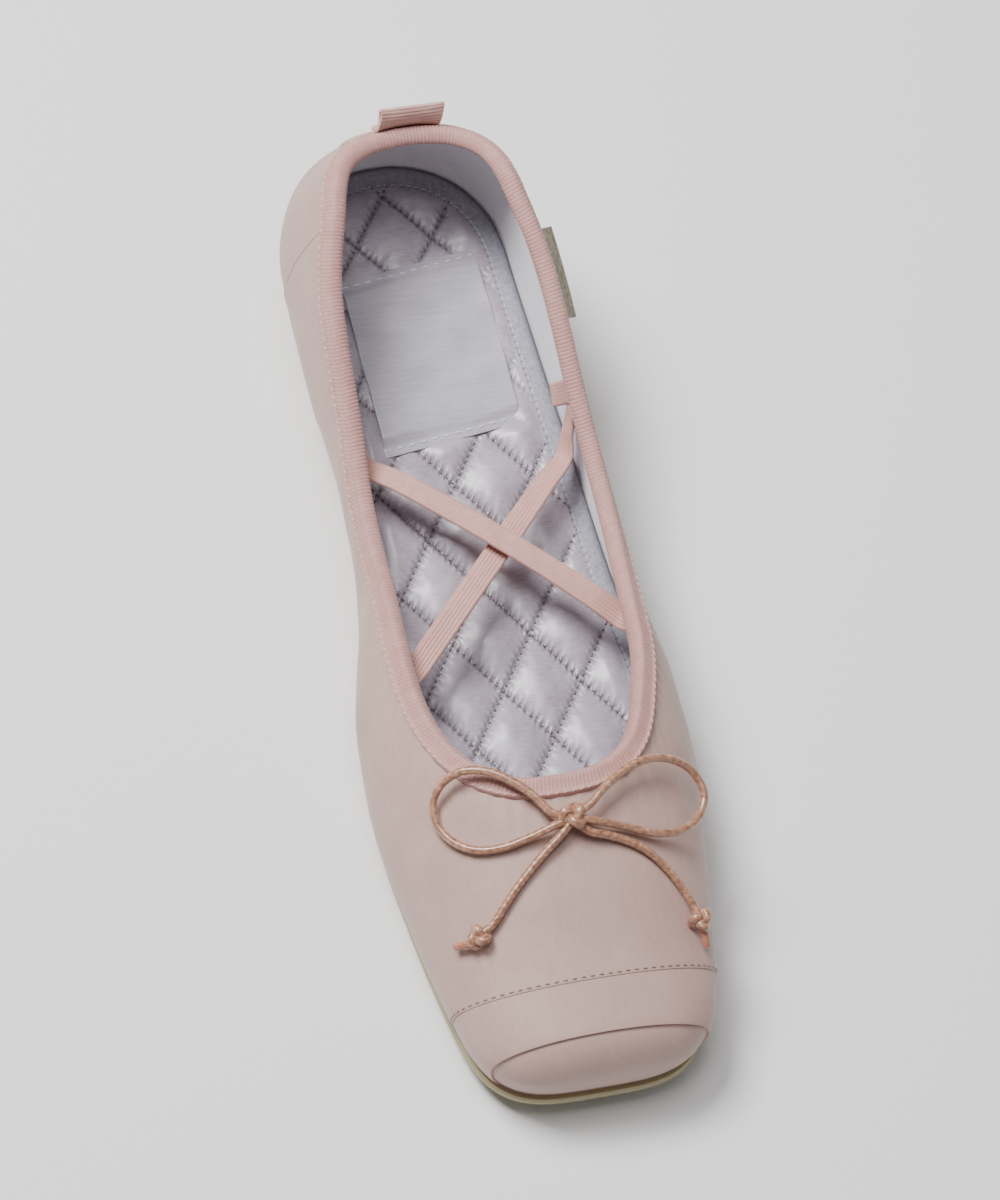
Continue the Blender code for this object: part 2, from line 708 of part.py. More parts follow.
def make_pull_tab(finish):
    """The heel pull tab: both ends of the tape lie behind the binding, and it folds above the collar."""
    first = GAP + BINDING_THICKNESS + PULL_TAB_CLEARANCE
    second = first + PULL_TAB_THICKNESS + GAP
    half = PULL_TAB_THICKNESS / 2.0
    crown = float(last_point(0.0, topline_turn(1, 0.0))[2]) + PULL_TAB_RISE
    middle_y = wall_point(1, 0.0, 0.0, first + half)[0][1]
    sections = []
    for x in np.linspace(-PULL_TAB_WIDTH / 2.0, PULL_TAB_WIDTH / 2.0, 5):
        side = -1 if x < 0 else 1
        station = topline_station_at(side, abs(x))
        path = []
        for out in (first + half, second + half):
            low = wall_point(side, station, PULL_TAB_DEPTH, out)[0]
            rim = wall_point(side, station, 0.0, out)[0]
            path.append([low, rim])
        inner, outer = path
        top_in = np.array([x, middle_y, crown - 2.0])
        top_out = top_in + np.array([0.0, PULL_TAB_THICKNESS + PULL_TAB_OPENING, 0.0])
        peak = (top_in + top_out) / 2.0 + np.array([0.0, 0.0, 1.6])
        line = np.array([*inner, top_in, peak, top_out, *outer[::-1]])
        line[:, 0] = x
        ahead = np.gradient(line, axis=0)
        ahead[:, 0] = 0.0
        ahead /= np.linalg.norm(ahead, axis=1)[:, None]
        outwards = np.stack([np.zeros(len(line)), -ahead[:, 2], ahead[:, 1]], axis=-1)
        sections.append(np.concatenate([line + outwards * half, (line - outwards * half)[::-1]]))
    return strip_object("heel_pull_tab", sections, finish)


def make_side_tab(finish):
    """The bare woven tab that hangs from the binding's outer seam."""
    sections = []
    for station in np.linspace(SIDE_TAB_FROM, SIDE_TAB_TO, 5):
        near = GAP + 0.1
        corners = []
        for depth, flare in ((SIDE_TAB_TOP_DEPTH, 0.0), (SIDE_TAB_BOTTOM_DEPTH, SIDE_TAB_FLARE)):
            outs = (near + flare, near + flare + SIDE_TAB_THICKNESS)
            corners.append([wall_point(1, station, depth, out)[0] for out in outs])
        (top_in, top_out), (low_in, low_out) = corners
        sections.append([top_in, top_out, low_out, low_in])
    return strip_object("side_tab", sections, finish)


def make_cord(name, route, finish):
    """A plain round cord along a route: a poly curve with a round bevel and filled ends."""
    _, length = smooth_route(route, 2)
    count = max(4, round(length / (CORD_SPACING * CORD_DIAMETER)) + 1)
    points, _ = smooth_route(route, count)
    curve = bpy.data.curves.new(name, "CURVE")
    curve.dimensions = "3D"
    curve.bevel_depth = CORD_DIAMETER / 2.0 * MM
    curve.bevel_resolution = 2
    curve.use_fill_caps = True
    spline = curve.splines.new("POLY")
    spline.points.add(count - 1)
    for place, point in zip(spline.points, points):
        place.co = (*(point * MM), 1.0)
    curve.materials.append(finish)
    made = bpy.data.objects.new(name, curve)
    bpy.context.scene.collection.objects.link(made)
    return made


def make_knot(finish):
    """The bow's middle knot, lying on the front of the throat's binding."""
    shaped = bmesh.new()
    bmesh.ops.create_uvsphere(shaped, u_segments=12, v_segments=8, radius=0.5)
    points = [np.array(KNOT_CENTRE) + np.array(v.co) * np.array(KNOT_SIZE) for v in shaped.verts]
    shaped.verts.index_update()
    faces = [tuple(v.index for v in face.verts) for face in shaped.faces]
    shaped.free()
    return new_object("bow_knot", points, faces, finish)


def make_end_knot(name, finish):
    """A tail's end knot and the short tip beyond it."""
    route = np.array(END_KNOT_ROUTES[name])
    dense, length = smooth_route(route, 60)
    reach = np.linspace(0.0, 1.0, 60)
    sections = []
    for share, swell in END_KNOT_PROFILE:
        centre = np.array([np.interp(share, reach, dense[:, axis]) for axis in range(3)])
        after = np.array([np.interp(min(share + 0.05, 1.0), reach, dense[:, axis]) for axis in range(3)])
        before = np.array([np.interp(max(share - 0.05, 0.0), reach, dense[:, axis]) for axis in range(3)])
        ahead = (after - before) / np.linalg.norm(after - before)
        side = np.cross(ahead, (0.0, 0.0, 1.0))
        side /= np.linalg.norm(side)
        over = np.cross(side, ahead)
        ring = []
        for step in range(END_KNOT_SIDES):
            angle = 2.0 * math.pi * step / END_KNOT_SIDES
            spoke = side * math.cos(angle) + over * math.sin(angle)
            ring.append(centre + spoke * swell * END_KNOT_RADIUS)
        sections.append(ring)
    return strip_object(name, sections, finish)


def main():
    for old in list(bpy.data.objects):
        bpy.data.objects.remove(old, do_unlink=True)

    satin = material("pale_pink_satin", (0.60, 0.47, 0.43), 0.55)
    rubber = material("gum_rubber", (0.55, 0.50, 0.30), 0.6)
    quilt = material("quilted_grey_satin", (0.50, 0.46, 0.50), 0.45)
    elastic = material("pink_elastic", (0.66, 0.47, 0.43), 0.75)
    strap_elastic = material("pink_ribbed_elastic", (0.68, 0.48, 0.43), 0.7)
    tape = material("pink_tape", (0.60, 0.38, 0.33), 0.7)
    woven = material("olive_woven_tape", (0.36, 0.32, 0.24), 0.85)
    cord = material("rose_gold_cord", (0.56, 0.33, 0.24), 0.35)

    grid, normals, belly_loop, stations = shoe_grid()
    make_outsole(belly_loop, stations, rubber)
    make_upper(grid, normals, satin)
    make_insole(belly_loop, stations, quilt)
    make_binding(grid, normals, elastic)
    for name in ("cross_strap_over", "cross_strap_under"):
        make_strap(name, strap_elastic)
    make_pull_tab(tape)
    make_side_tab(woven)
    make_knot(cord)
    for name, route in BOW_ROUTES.items():
        make_cord(name, route, cord)
    for name in END_KNOT_ROUTES:
        make_end_knot(name, cord)


main()
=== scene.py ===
# %% [markdown]
# # A ballet flat, left shoe
# The shoe is a lasted satin slip-on: a thin upper pulled over a foot-shaped last, closed underneath
# by a quilted insole and a gum-rubber sole. Its rim is bound with puckered elastic, two narrow
# elastics cross the opening, and a satin cord is tied in a small bow on the vamp.
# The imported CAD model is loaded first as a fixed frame. Everything made here is fitted to it,
# so the pieces only add finish: seams, ribs, quilting, stitches, weave and gloss.
# Lengths in this file are millimetres, and MM turns them into Blender's metres.

# %% Load the frame
import math

import bmesh
import bpy
import numpy as np
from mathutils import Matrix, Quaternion, Vector
from mathutils.bvhtree import BVHTree


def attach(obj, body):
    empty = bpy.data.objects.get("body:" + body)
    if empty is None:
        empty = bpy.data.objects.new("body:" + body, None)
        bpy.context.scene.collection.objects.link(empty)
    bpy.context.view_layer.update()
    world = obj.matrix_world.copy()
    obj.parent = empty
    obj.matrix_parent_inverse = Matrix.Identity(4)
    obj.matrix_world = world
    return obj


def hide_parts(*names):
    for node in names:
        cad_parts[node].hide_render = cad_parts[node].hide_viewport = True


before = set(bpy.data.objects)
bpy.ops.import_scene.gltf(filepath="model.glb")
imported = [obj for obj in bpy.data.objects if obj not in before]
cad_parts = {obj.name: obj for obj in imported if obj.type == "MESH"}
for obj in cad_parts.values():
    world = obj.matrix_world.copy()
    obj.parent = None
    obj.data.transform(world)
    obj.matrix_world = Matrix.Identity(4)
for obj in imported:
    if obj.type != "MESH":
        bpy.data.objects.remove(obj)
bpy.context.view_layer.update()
MM = 0.001
BODY = "root"
print("nodes in the frame:", len(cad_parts))

# %% [markdown]
# ## Camera, light and floor
# The camera looks steeply down from in front of the toe's inner side, and is rolled a little, so
# the shoe leans across the picture. A long lens keeps its shape free of perspective stretch.
# Light for satin has to be soft: a key light high on the left draws long gentle highlights, and
# weaker ones keep the shaded side open. The pale floor returns light from below.

# %% Camera
CAMERA_AT, CAMERA_AIM = (-0.3007, -0.6724, 1.2037), (0.0017, -0.0957, 0.0270)
CAMERA_ROLL, CAMERA_LENS = 16.2, 169.0


def add_object(name, data):
    """Put a mesh, a lamp or a camera into the scene."""
    made = bpy.data.objects.new(name, data)
    bpy.context.scene.collection.objects.link(made)
    return made


def stand(item, at, roll=0.0):
    """Stand a camera or lamp at a place, aimed at the shoe and rolled about the line of sight."""
    aim = (Vector(CAMERA_AIM) - Vector(at)).to_track_quat("-Z", "Y")
    item.location = at
    item.rotation_mode = "QUATERNION"
    item.rotation_quaternion = aim @ Quaternion((0, 0, 1), math.radians(roll))


camera = add_object("main_camera", bpy.data.cameras.new("main_camera"))
camera.data.lens, camera.data.sensor_width = CAMERA_LENS, 36.0
stand(camera, CAMERA_AT, CAMERA_ROLL)
bpy.context.scene.camera = camera
print("camera lens, mm:", CAMERA_LENS)

# %% Lights and floor
# Each soft box: its place, its side in metres and its power.
LIGHTS = {
    "key_light": ((-0.52, 0.34, 1.20), 0.5, 28.0),
    "fill_light": ((0.9, -0.4, 1.0), 1.2, 1.5),
    "top_light": ((-0.15, -0.1, 1.4), 0.5, 6.5),
}
ROOM_COLOUR, ROOM_STRENGTH = (0.9, 0.9, 0.918, 1.0), 0.15
FLOOR_COLOUR, FLOOR_ROUGHNESS, FLOOR_HALF = (0.93, 0.93, 0.93, 1.0), 0.9, 3.0


def new_material(name):
    """A material, its tree and its main shader."""
    material = bpy.data.materials.new(name)
    material.use_nodes = True
    print("finish:", name)
    return material, material.node_tree, material.node_tree.nodes["Principled BSDF"]


def add_floor():
    """A plain pale floor under the sole."""
    mesh = bpy.data.meshes.new("floor")
    corners = [(-1, -1, 0), (1, -1, 0), (1, 1, 0), (-1, 1, 0)]
    mesh.from_pydata([Vector(corner) * FLOOR_HALF for corner in corners], [], [(0, 1, 2, 3)])
    paint, _, shader = new_material("floor_paint")
    shader.inputs["Base Color"].default_value = FLOOR_COLOUR
    shader.inputs["Roughness"].default_value = FLOOR_ROUGHNESS
    mesh.materials.append(paint)
    add_object("floor", mesh)


for lamp_name, (lamp_at, lamp_side, lamp_power) in LIGHTS.items():
    lamp = add_object(lamp_name, bpy.data.lights.new(lamp_name, "AREA"))
    lamp.data.size, lamp.data.energy = lamp_side, lamp_power
    stand(lamp, lamp_at)
add_floor()
room = bpy.data.worlds.new("pale_room")
room.use_nodes = True
room.node_tree.nodes["Background"].inputs["Color"].default_value = ROOM_COLOUR
room.node_tree.nodes["Background"].inputs["Strength"].default_value = ROOM_STRENGTH
bpy.context.scene.world = room
print("lights:", *LIGHTS)

# %% [markdown]
# ## The last
# A shoe takes its shape from a last, a block in the shape of a foot. Here the last is a family of
# cross sections: a "station" is the distance from the heel's back, and each section has a feather
# line (where the upper meets the sole), a belly (its widest height) and a crown. Between the rows
# of the table a smooth curve is used. The rules and rows are those that the solids were made from,
# so that every surface here lies on the frame.

# %% Tables of the last
LENGTH = 250.0
HEEL_BACK_Y = 32.0
WALL = 2.0
GAP = 0.3
# Each table: the names of its columns after the station, then its rows.
LAST_TABLES = (
    (
        ("medial", "lateral", "tuck", "feather", "belly", "crown"),
        (0.0, 30.6, 29.4, 4.0, 11.0, 18.0, 80.0),
        (30.0, 30.6, 29.4, 4.0, 11.0, 18.0, 80.0),
        (60.0, 30.4, 30.8, 4.0, 10.5, 18.0, 84.0),
        (90.0, 28.8, 32.8, 4.0, 9.0, 17.0, 62.0),
        (120.0, 30.4, 34.8, 3.5, 7.0, 15.0, 51.5),
        (150.0, 37.2, 38.8, 3.0, 5.0, 13.0, 49.2),
        (175.0, 38.5, 39.7, 2.3, 4.2, 12.0, 46.8),
        (200.0, 35.8, 36.2, 2.0, 4.6, 11.0, 40.2),
        (225.0, 32.4, 32.6, 2.0, 6.0, 10.0, 32.9),
        (250.0, 31.6, 31.8, 2.2, 8.5, 9.0, 28.6),
    ),
    (("rim",), (0.0, 62.8), (25.0, 65.2), (60.0, 53.8), (100.0, 35.8), (145.0, 39.3)),
    (
        ("ground",), (0.0, 1.0), (7.0, 0.0), (58.0, 0.0), (64.0, 2.4), (95.0, 2.2),
        (146.0, 0.0), (190.0, 0.0), (215.0, 1.2), (235.0, 3.0), (250.0, 5.0),
    ),
    (
        ("margin",), (0.0, -0.8), (60.0, -1.0), (130.0, -0.7), (190.0, -0.3), (225.0, 0.35),
        (250.0, 0.9),
    ),
    (("sock",), (0.0, 9.5), (60.0, 9.5), (120.0, 8.5), (190.0, 6.5), (250.0, 5.0)),
)
SECTION_POWER = 2.1
HEEL_RADIUS, HEEL_POWER = 32.0, 2.1
TOE_RADIUS, TOE_POWER = 46.0, 3.6
TIP_RADIUS, TIP_POWER = 9.0, 2.4
HEEL_LEAN, HEEL_LEAN_RISE, HEEL_LEAN_REACH = 15.7, 32.0, 95.0
TOE_FACE_LEAN, TOE_FACE_RISE, TOE_FACE_REACH = 1.4, 12.0, 60.0
THROAT_START, THROAT_REACH, THROAT_POWER = 145.0, 39.2, 2.4
THROAT_SHIFT, THROAT_PINCH = -0.7, 1.8
OUTLINE_SAMPLES = 800
STRAIGHT_COLUMNS = (60.0, 115.0)

curves = {}
for names, *rows in LAST_TABLES:
    station_column, *columns = np.array(rows).T
    curves.update({name: (station_column, column) for name, column in zip(names, columns)})
print("columns of the last:", *curves)

# %% Reading the last
def smooth(x, y, at):
    """A smooth curve through the points (x, y), read at other places."""
    step = np.diff(x)
    slope = np.diff(y) / step
    tangent = np.empty_like(y)
    tangent[0], tangent[-1] = slope[0], slope[-1]
    tangent[1:-1] = (step[1:] * slope[:-1] + step[:-1] * slope[1:]) / (step[1:] + step[:-1])
    at = np.clip(at, x[0], x[-1])
    i = np.clip(np.searchsorted(x, at) - 1, 0, len(step) - 1)
    t = (at - x[i]) / step[i]
    value = y[i] * (2 * t**3 - 3 * t**2 + 1) + y[i + 1] * (3 * t**2 - 2 * t**3)
    bend = tangent[i] * (t**3 - 2 * t**2 + t) + tangent[i + 1] * (t**3 - t**2)
    return value + step[i] * bend


def last(name, station):
    """One column of the last's tables, read at a station."""
    return smooth(*curves[name], station)


def quarter(u, power):
    """A quarter of a superellipse: 1 at u = 0 and 0 at u = 1."""
    return (1.0 - np.clip(u, 0.0, 1.0) ** power) ** (1.0 / power)

# %% Sections of the last
def half_width(side, station):
    """Half width at the belly. side is -1 for medial and 1 for lateral."""
    width = np.where(np.asarray(side) < 0, last("medial", station), last("lateral", station))
    heel = quarter(1.0 - station / HEEL_RADIUS, HEEL_POWER)
    return width * heel * quarter(1.0 - (LENGTH - station) / TOE_RADIUS, TOE_POWER)


def belly_height(station):
    return last("feather", station) + last("belly", station)


def crown_height(station):
    belly = belly_height(station)
    tip = quarter(1.0 - (LENGTH - station) / TIP_RADIUS, TIP_POWER)
    return belly + (last("crown", station) - belly) * tip


def lean(station, height):
    """How far a point of the upper is moved towards the toe."""
    above = np.maximum(height - belly_height(station), 0.0)
    heel_fade = np.clip(1.0 - station / HEEL_LEAN_REACH, 0.0, 1.0) ** 3
    toe_fade = np.clip(1.0 - (LENGTH - station) / TOE_FACE_REACH, 0.0, 1.0) ** 2
    heel = HEEL_LEAN * (above / HEEL_LEAN_RISE) ** 1.5
    toe = TOE_FACE_LEAN * np.minimum(above / TOE_FACE_RISE, 1.2) ** 1.5
    return heel * heel_fade - toe * toe_fade


def last_point(station, turn):
    """Points on the last. turn goes from 0 at the medial belly, over the crown, to pi laterally."""
    station = np.clip(np.asarray(station, float), 0.0, LENGTH)
    side = np.where(np.asarray(turn) < math.pi / 2, -1.0, 1.0)
    across = np.abs(np.cos(turn)) ** (2.0 / SECTION_POWER)
    belly = belly_height(station)
    up = np.abs(np.sin(turn)) ** (2.0 / SECTION_POWER)
    height = belly + (crown_height(station) - belly) * up
    x = side * half_width(side, station) * across
    return np.stack([x, HEEL_BACK_Y - station - lean(station, height), height], axis=-1)


def turn_at_height(side, station, height):
    """The turn at which a section reaches a height."""
    belly = belly_height(station)
    share = np.clip((height - belly) / (crown_height(station) - belly), 0.0, 1.0)
    turn = np.arcsin(share ** (SECTION_POWER / 2.0))
    return turn if side < 0 else math.pi - turn


def turn_at_width(x, station):
    """The turn at which a section is x wide of its middle."""
    width = np.maximum(half_width(np.sign(x), station), 1e-9)
    turn = np.arccos(np.clip(np.abs(x) / width, 0.0, 1.0) ** (SECTION_POWER / 2.0))
    return np.where(np.asarray(x) < 0, turn, math.pi - turn)


print("crown at the throat, mm:", round(float(crown_height(THROAT_START)), 1))

# %% Walking over the last
def unit(vectors):
    return vectors / np.maximum(np.linalg.norm(vectors, axis=-1, keepdims=True), 1e-12)


def dot(a, b):
    return np.sum(a * b, axis=-1)


def tangents(station, turn, h=0.01):
    """How the last runs with the station and with the turn."""
    before, after = np.maximum(station - h, 0.0), np.minimum(station + h, LENGTH)
    along = (last_point(after, turn) - last_point(before, turn)) / (after - before)[..., None]
    return along, (last_point(station, turn + h) - last_point(station, turn - h)) / (2 * h)


def surface_normal(station, turn):
    """The outward normal of the last."""
    return unit(np.cross(*tangents(np.clip(station, 0.02, LENGTH - 0.02), turn, 0.02)))


def walk(station, turn, direction, distance, steps=6):
    """Walk over the last from many points at once, each in its own direction."""
    for _ in range(steps):
        along, around = tangents(station, turn)
        normal = unit(np.cross(along, around))
        heading = unit(direction - normal * dot(direction, normal)[..., None])
        heading = heading * (distance / steps)
        aa, ab, bb = dot(along, along), dot(along, around), dot(around, around)
        pa, pb = dot(along, heading), dot(around, heading)
        det = aa * bb - ab * ab
        station = np.maximum(station + (pa * bb - pb * ab) / det, 0.0)
        turn = turn + (aa * pb - ab * pa) / det
    return station, turn

# %% The topline
def topline_turn(side, station):
    """Where the topline crosses a section: by height along the sides, by width at the throat."""
    station = np.asarray(station, float)
    row = np.minimum(station, THROAT_START)
    turn = turn_at_height(side, row, last("rim", row))
    corner = turn_at_height(side, THROAT_START, last("rim", THROAT_START))
    u = np.clip((station - THROAT_START) / THROAT_REACH, 0.0, 1.0)
    x = side * abs(last_point(THROAT_START, corner)[0]) * quarter(u, THROAT_POWER)
    x = x + THROAT_SHIFT * u**2
    if side > 0:
        x = x - THROAT_PINCH * np.sin(math.pi * u) ** 2
    return np.where(station <= THROAT_START, turn, turn_at_width(x, station))


def below_topline(side, station, depth):
    """The station and turn at a depth below the topline, walked square to it down the wall."""
    station = np.asarray(station, float)
    turn = topline_turn(side, station)
    if np.all(np.asarray(depth) <= 0):
        return station, turn
    before = np.maximum(station - 0.5, 0.0)
    after = np.minimum(station + 0.5, THROAT_START + THROAT_REACH)
    there, here = (last_point(at, topline_turn(side, at)) for at in (after, before))
    down = np.cross(unit(there - here), surface_normal(station, turn))
    return walk(station, turn, np.where(down[..., 2:] > 0, -down, down), depth)


def wall_point(side, station, depth, out):
    """A point out from the wall, depth below the topline, and the wall's normal there."""
    reached = below_topline(side, station, depth)
    normal = surface_normal(*reached)
    return last_point(*reached) + normal * out, normal


print("collar at the heel, mm:", round(float(last_point(0.0, topline_turn(1, 0.0))[2]), 1))

# %% [markdown]
# ## Columns and rows round the shoe
# The upper, its lining and the binding all share one grid: columns go once round the shoe, fanning
# out over the toe, and rows go down each column from the topline to the feather line. A grid like
# this follows the way the satin is pulled over the last, so weave and creases flow naturally.

# %% Stations along a side
def polyline_length(points):
    """The length reached at each point of a polyline."""
    return np.append(0.0, np.cumsum(np.linalg.norm(np.diff(points, axis=0), axis=1)))


def closed(loop):
    """A loop with its first point again at its end."""
    return np.concatenate([loop, loop[:1]])


def side_stations(curve_from, reach, power):
    """Stations along one side: round the heel, straight on, and round the toe or the throat."""
    angle = np.linspace(0.0, math.pi / 2, OUTLINE_SAMPLES)
    heel = HEEL_RADIUS * (1.0 - np.cos(angle) ** (2.0 / HEEL_POWER))
    sides = np.linspace(HEEL_RADIUS, curve_from, OUTLINE_SAMPLES)
    front = curve_from + reach * np.sin(angle) ** (2.0 / power)
    return np.concatenate([heel, sides[1:], front[1:]])


def evenly(length, stations, columns):
    """Stations at even steps of the length along a side."""
    return np.interp(np.linspace(0.0, length[-1], columns + 1), length, stations)


def belly_stations(columns):
    """Stations at the belly, heel to toe, evenly spread along the outline."""
    stations = side_stations(LENGTH - TOE_RADIUS, TOE_RADIUS, TOE_POWER)
    width = (half_width(-1, stations) + half_width(1, stations)) / 2.0
    return evenly(polyline_length(np.stack([width, stations], axis=-1)), stations, columns)


topline_samples = side_stations(THROAT_START, THROAT_REACH, THROAT_POWER)
topline_length = polyline_length(last_point(topline_samples, topline_turn(-1, topline_samples)))


def topline_stations(belly):
    """The same columns' stations at the topline."""
    column = np.arange(len(belly), dtype=float)
    knots = np.interp([0.0, *STRAIGHT_COLUMNS, LENGTH], belly, column)
    reached = np.interp([0.0, *STRAIGHT_COLUMNS], topline_samples, topline_length)
    reached = smooth(knots, np.append(reached, topline_length[-1]), column)
    return np.interp(reached, topline_length, topline_samples)


print("half of the topline, mm:", round(float(topline_length[-1]), 1))

# %% Rows down the wall
def signed_power(value, power):
    return np.sign(value) * np.abs(value) ** power


def leaf_rows(side, top, depths):
    """Station and turn at each depth for all columns. The heel's own column stays in its plane."""
    rows = [below_topline(side, top, depth) for depth in depths]
    return [(np.where(top == 0.0, 0.0, station), turn) for station, turn in rows]


def wall_rows(side, top, bottom, leaf_depths, side_rows):
    """All rows of one side, from the topline to the belly."""
    rows = leaf_rows(side, top, leaf_depths)
    station, turn = rows[-1]
    points = [last_point(*row) for row in rows]
    x_top, x_bottom = points[-1][:, 0], side * half_width(side, bottom)
    from_belly = turn if side < 0 else math.pi - turn
    share_top = signed_power(np.cos(from_belly), 2.0 / SECTION_POWER)
    for row in range(1, side_rows + 1):
        angle = from_belly * (1.0 - row / side_rows)
        share = signed_power(np.cos(angle), 2.0 / SECTION_POWER)
        part = (share - share_top) / (1.0 - share_top)
        s = station + (bottom - station) * part
        row_turn = turn_at_width(x_top + (x_bottom - x_top) * part, s)
        heel = bottom == 0.0
        points.append(last_point(np.where(heel, 0.0, s), np.where(heel, angle, row_turn)))
    return np.stack(points, axis=1)


def around(medial, lateral):
    """Columns of both sides as one loop: medial heel to toe, then lateral toe to heel."""
    return np.concatenate([medial, lateral[-2:0:-1]])


def plan_normals(loop):
    """Outward normals, in plan, of a closed loop."""
    tangent = np.roll(loop, -1, axis=0) - np.roll(loop, 1, axis=0)
    normal = unit(np.stack([tangent[:, 1], -tangent[:, 0], np.zeros(len(loop))], axis=-1))
    return -normal if np.sum((loop - loop.mean(axis=0)) * normal) < 0 else normal


def grid_normals(grid):
    """Outward normals of a grid of columns round the shoe and rows from the topline down."""
    along = np.roll(grid, -1, axis=0) - np.roll(grid, 1, axis=0)
    return unit(np.cross(np.gradient(grid, axis=1), along))

# %% The shared grid
class ShoeGrid:
    """The last's outer face as a grid, its normals, and the outline at the belly."""

    def __init__(self, columns, leaf_depths=(0.0, 7.0), side_rows=2, low_shares=(0.0,)):
        bottom = belly_stations(columns)
        top = topline_stations(bottom)
        wall = around(*(wall_rows(side, top, bottom, leaf_depths, side_rows) for side in (-1, 1)))
        self.stations = around(bottom, bottom)
        self.belly = wall[:, -1].copy()
        rise = last("belly", self.stations)
        low = [self.loop(rise * share)[:, None] for share in low_shares]
        self.points = np.concatenate([wall, *low], axis=1)
        self.normals = grid_normals(self.points)

    def loop(self, height, inset=0.0):
        """The outline at a height above the feather line, set in by a distance."""
        below = np.clip(1.0 - height / last("belly", self.stations), 0.0, 1.0)
        shift = (last("tuck", self.stations) * below**2 + inset)[:, None]
        loop = self.belly - plan_normals(self.belly) * shift
        loop[:, 2] = last("feather", self.stations) + height
        return loop


outline = ShoeGrid(240)
print("columns in the outline grid:", len(outline.stations))

# %% [markdown]
# ## Making meshes
# Every piece is a mesh whose vertices are already in place, so its object stays at the origin.
# Most pieces are grids: rows of points that join into quads, either open or closed into a ring.

# %% Mesh helpers
def grid_faces(columns, rows, ring=False, tube=False):
    """Quads of a grid. ring joins the last column to the first, tube the rows."""
    last_column, last_row = (columns if ring else columns - 1), (rows if tube else rows - 1)
    c, r = np.meshgrid(np.arange(last_column), np.arange(last_row), indexing="ij")
    c, r = c.ravel(), r.ravel()
    across, below = (c + 1) % columns, (r + 1) % rows
    corners = [c * rows + r, across * rows + r, across * rows + below, c * rows + below]
    return np.stack(corners, axis=-1).tolist()


def set_right(mesh, weld=False):
    """Outward faces and smooth shading. weld first joins the points that meet on a spine."""
    shaped = bmesh.new()
    shaped.from_mesh(mesh)
    if weld:
        bmesh.ops.remove_doubles(shaped, verts=shaped.verts, dist=0.02 * MM)
        bmesh.ops.dissolve_degenerate(shaped, edges=shaped.edges, dist=0.01 * MM)
    bmesh.ops.recalc_face_normals(shaped, faces=shaped.faces)
    shaped.to_mesh(mesh)
    shaped.free()
    mesh.shade_smooth()


def plain_mesh(name, points, edges=(), faces=()):
    """A mesh from points in millimetres."""
    mesh = bpy.data.meshes.new(name)
    mesh.from_pydata((np.asarray(points).reshape(-1, 3) * MM).tolist(), edges, faces)
    return mesh


def new_piece(name, points, faces, material, sharp_angle=None):
    """A mesh object from points and faces, with edges sharp past an angle."""
    mesh = plain_mesh(name, points, faces=faces)
    set_right(mesh)
    if sharp_angle is not None:
        mesh.set_sharp_from_angle(angle=math.radians(sharp_angle))
    mesh.materials.append(material)
    return add_object(name, mesh)


def grid_piece(name, grid, material, sharp_angle=None, **closing):
    """A mesh object from a grid of points, columns first."""
    return new_piece(name, grid, grid_faces(*grid.shape[:2], **closing), material, sharp_angle)

# %% Finishing a piece
def lay_values(piece, name, values, kind="FLOAT", field="value"):
    """A named value for each vertex."""
    attribute = piece.data.attributes.new(name, kind, "POINT")
    attribute.data.foreach_set(field, np.asarray(values, dtype=np.float32).ravel())


def keep_result(piece):
    """Make what the modifiers give into the piece's own plain mesh."""
    graph = bpy.context.evaluated_depsgraph_get()
    made = bpy.data.meshes.new_from_object(
        piece.evaluated_get(graph), preserve_all_data_layers=True, depsgraph=graph
    )
    piece.modifiers.clear()
    made.name = piece.name
    piece.data = made


def thicken(piece, thickness, bevel=0.18, inward=True):
    """Give a sheet thickness and a rounded edge, and keep the result."""
    solid = piece.modifiers.new("thickness", "SOLIDIFY")
    solid.thickness, solid.offset = thickness * MM, -1.0 if inward else 1.0
    solid.use_even_offset = False
    edge = piece.modifiers.new("rounded_edge", "BEVEL")
    edge.width, edge.segments = bevel * MM, 2
    edge.limit_method, edge.angle_limit = "ANGLE", math.radians(60.0)
    keep_result(piece)
    piece.data.shade_smooth()
    piece.data.set_sharp_from_angle(angle=math.radians(50.0))


def place(piece, replaced=()):
    """Say what a piece stands for: its body and the CAD nodes it hides."""
    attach(piece, BODY)
    if replaced:
        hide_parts(*replaced)
    print(piece.name, "faces:", len(piece.data.polygons))

# %% Paths
UP = np.array([0.0, 0.0, 1.0])


def read_along(points, length, at):
    """Points of a polyline, or directions along it, read at the lengths asked for."""
    return np.stack([np.interp(at, length, points[:, axis]) for axis in range(3)], axis=-1)


def even_path(points, step):
    """The same path with points a step apart."""
    points = np.asarray(points, float)
    length = polyline_length(points)
    count = max(2, int(round(length[-1] / step)) + 1)
    return read_along(points, length, np.linspace(0.0, length[-1], count))


def smooth_route(points, count):
    """Points spread evenly along a smooth curve through a route."""
    points = np.asarray(points, float)
    reach = polyline_length(points)
    dense = np.linspace(0.0, reach[-1], 40 * len(points))
    curve = np.stack([smooth(reach, points[:, axis], dense) for axis in range(3)], axis=-1)
    length = polyline_length(curve)
    return read_along(curve, length, np.linspace(0.0, length[-1], count))


def path_object(name, paths):
    """Polylines as a mesh of edges."""
    starts = np.cumsum([0, *(len(path) for path in paths)])
    edges = [(i, i + 1) for a, b in zip(starts, starts[1:]) for i in range(int(a), int(b) - 1)]
    return add_object(name, plain_mesh(name, np.concatenate(paths), edges))

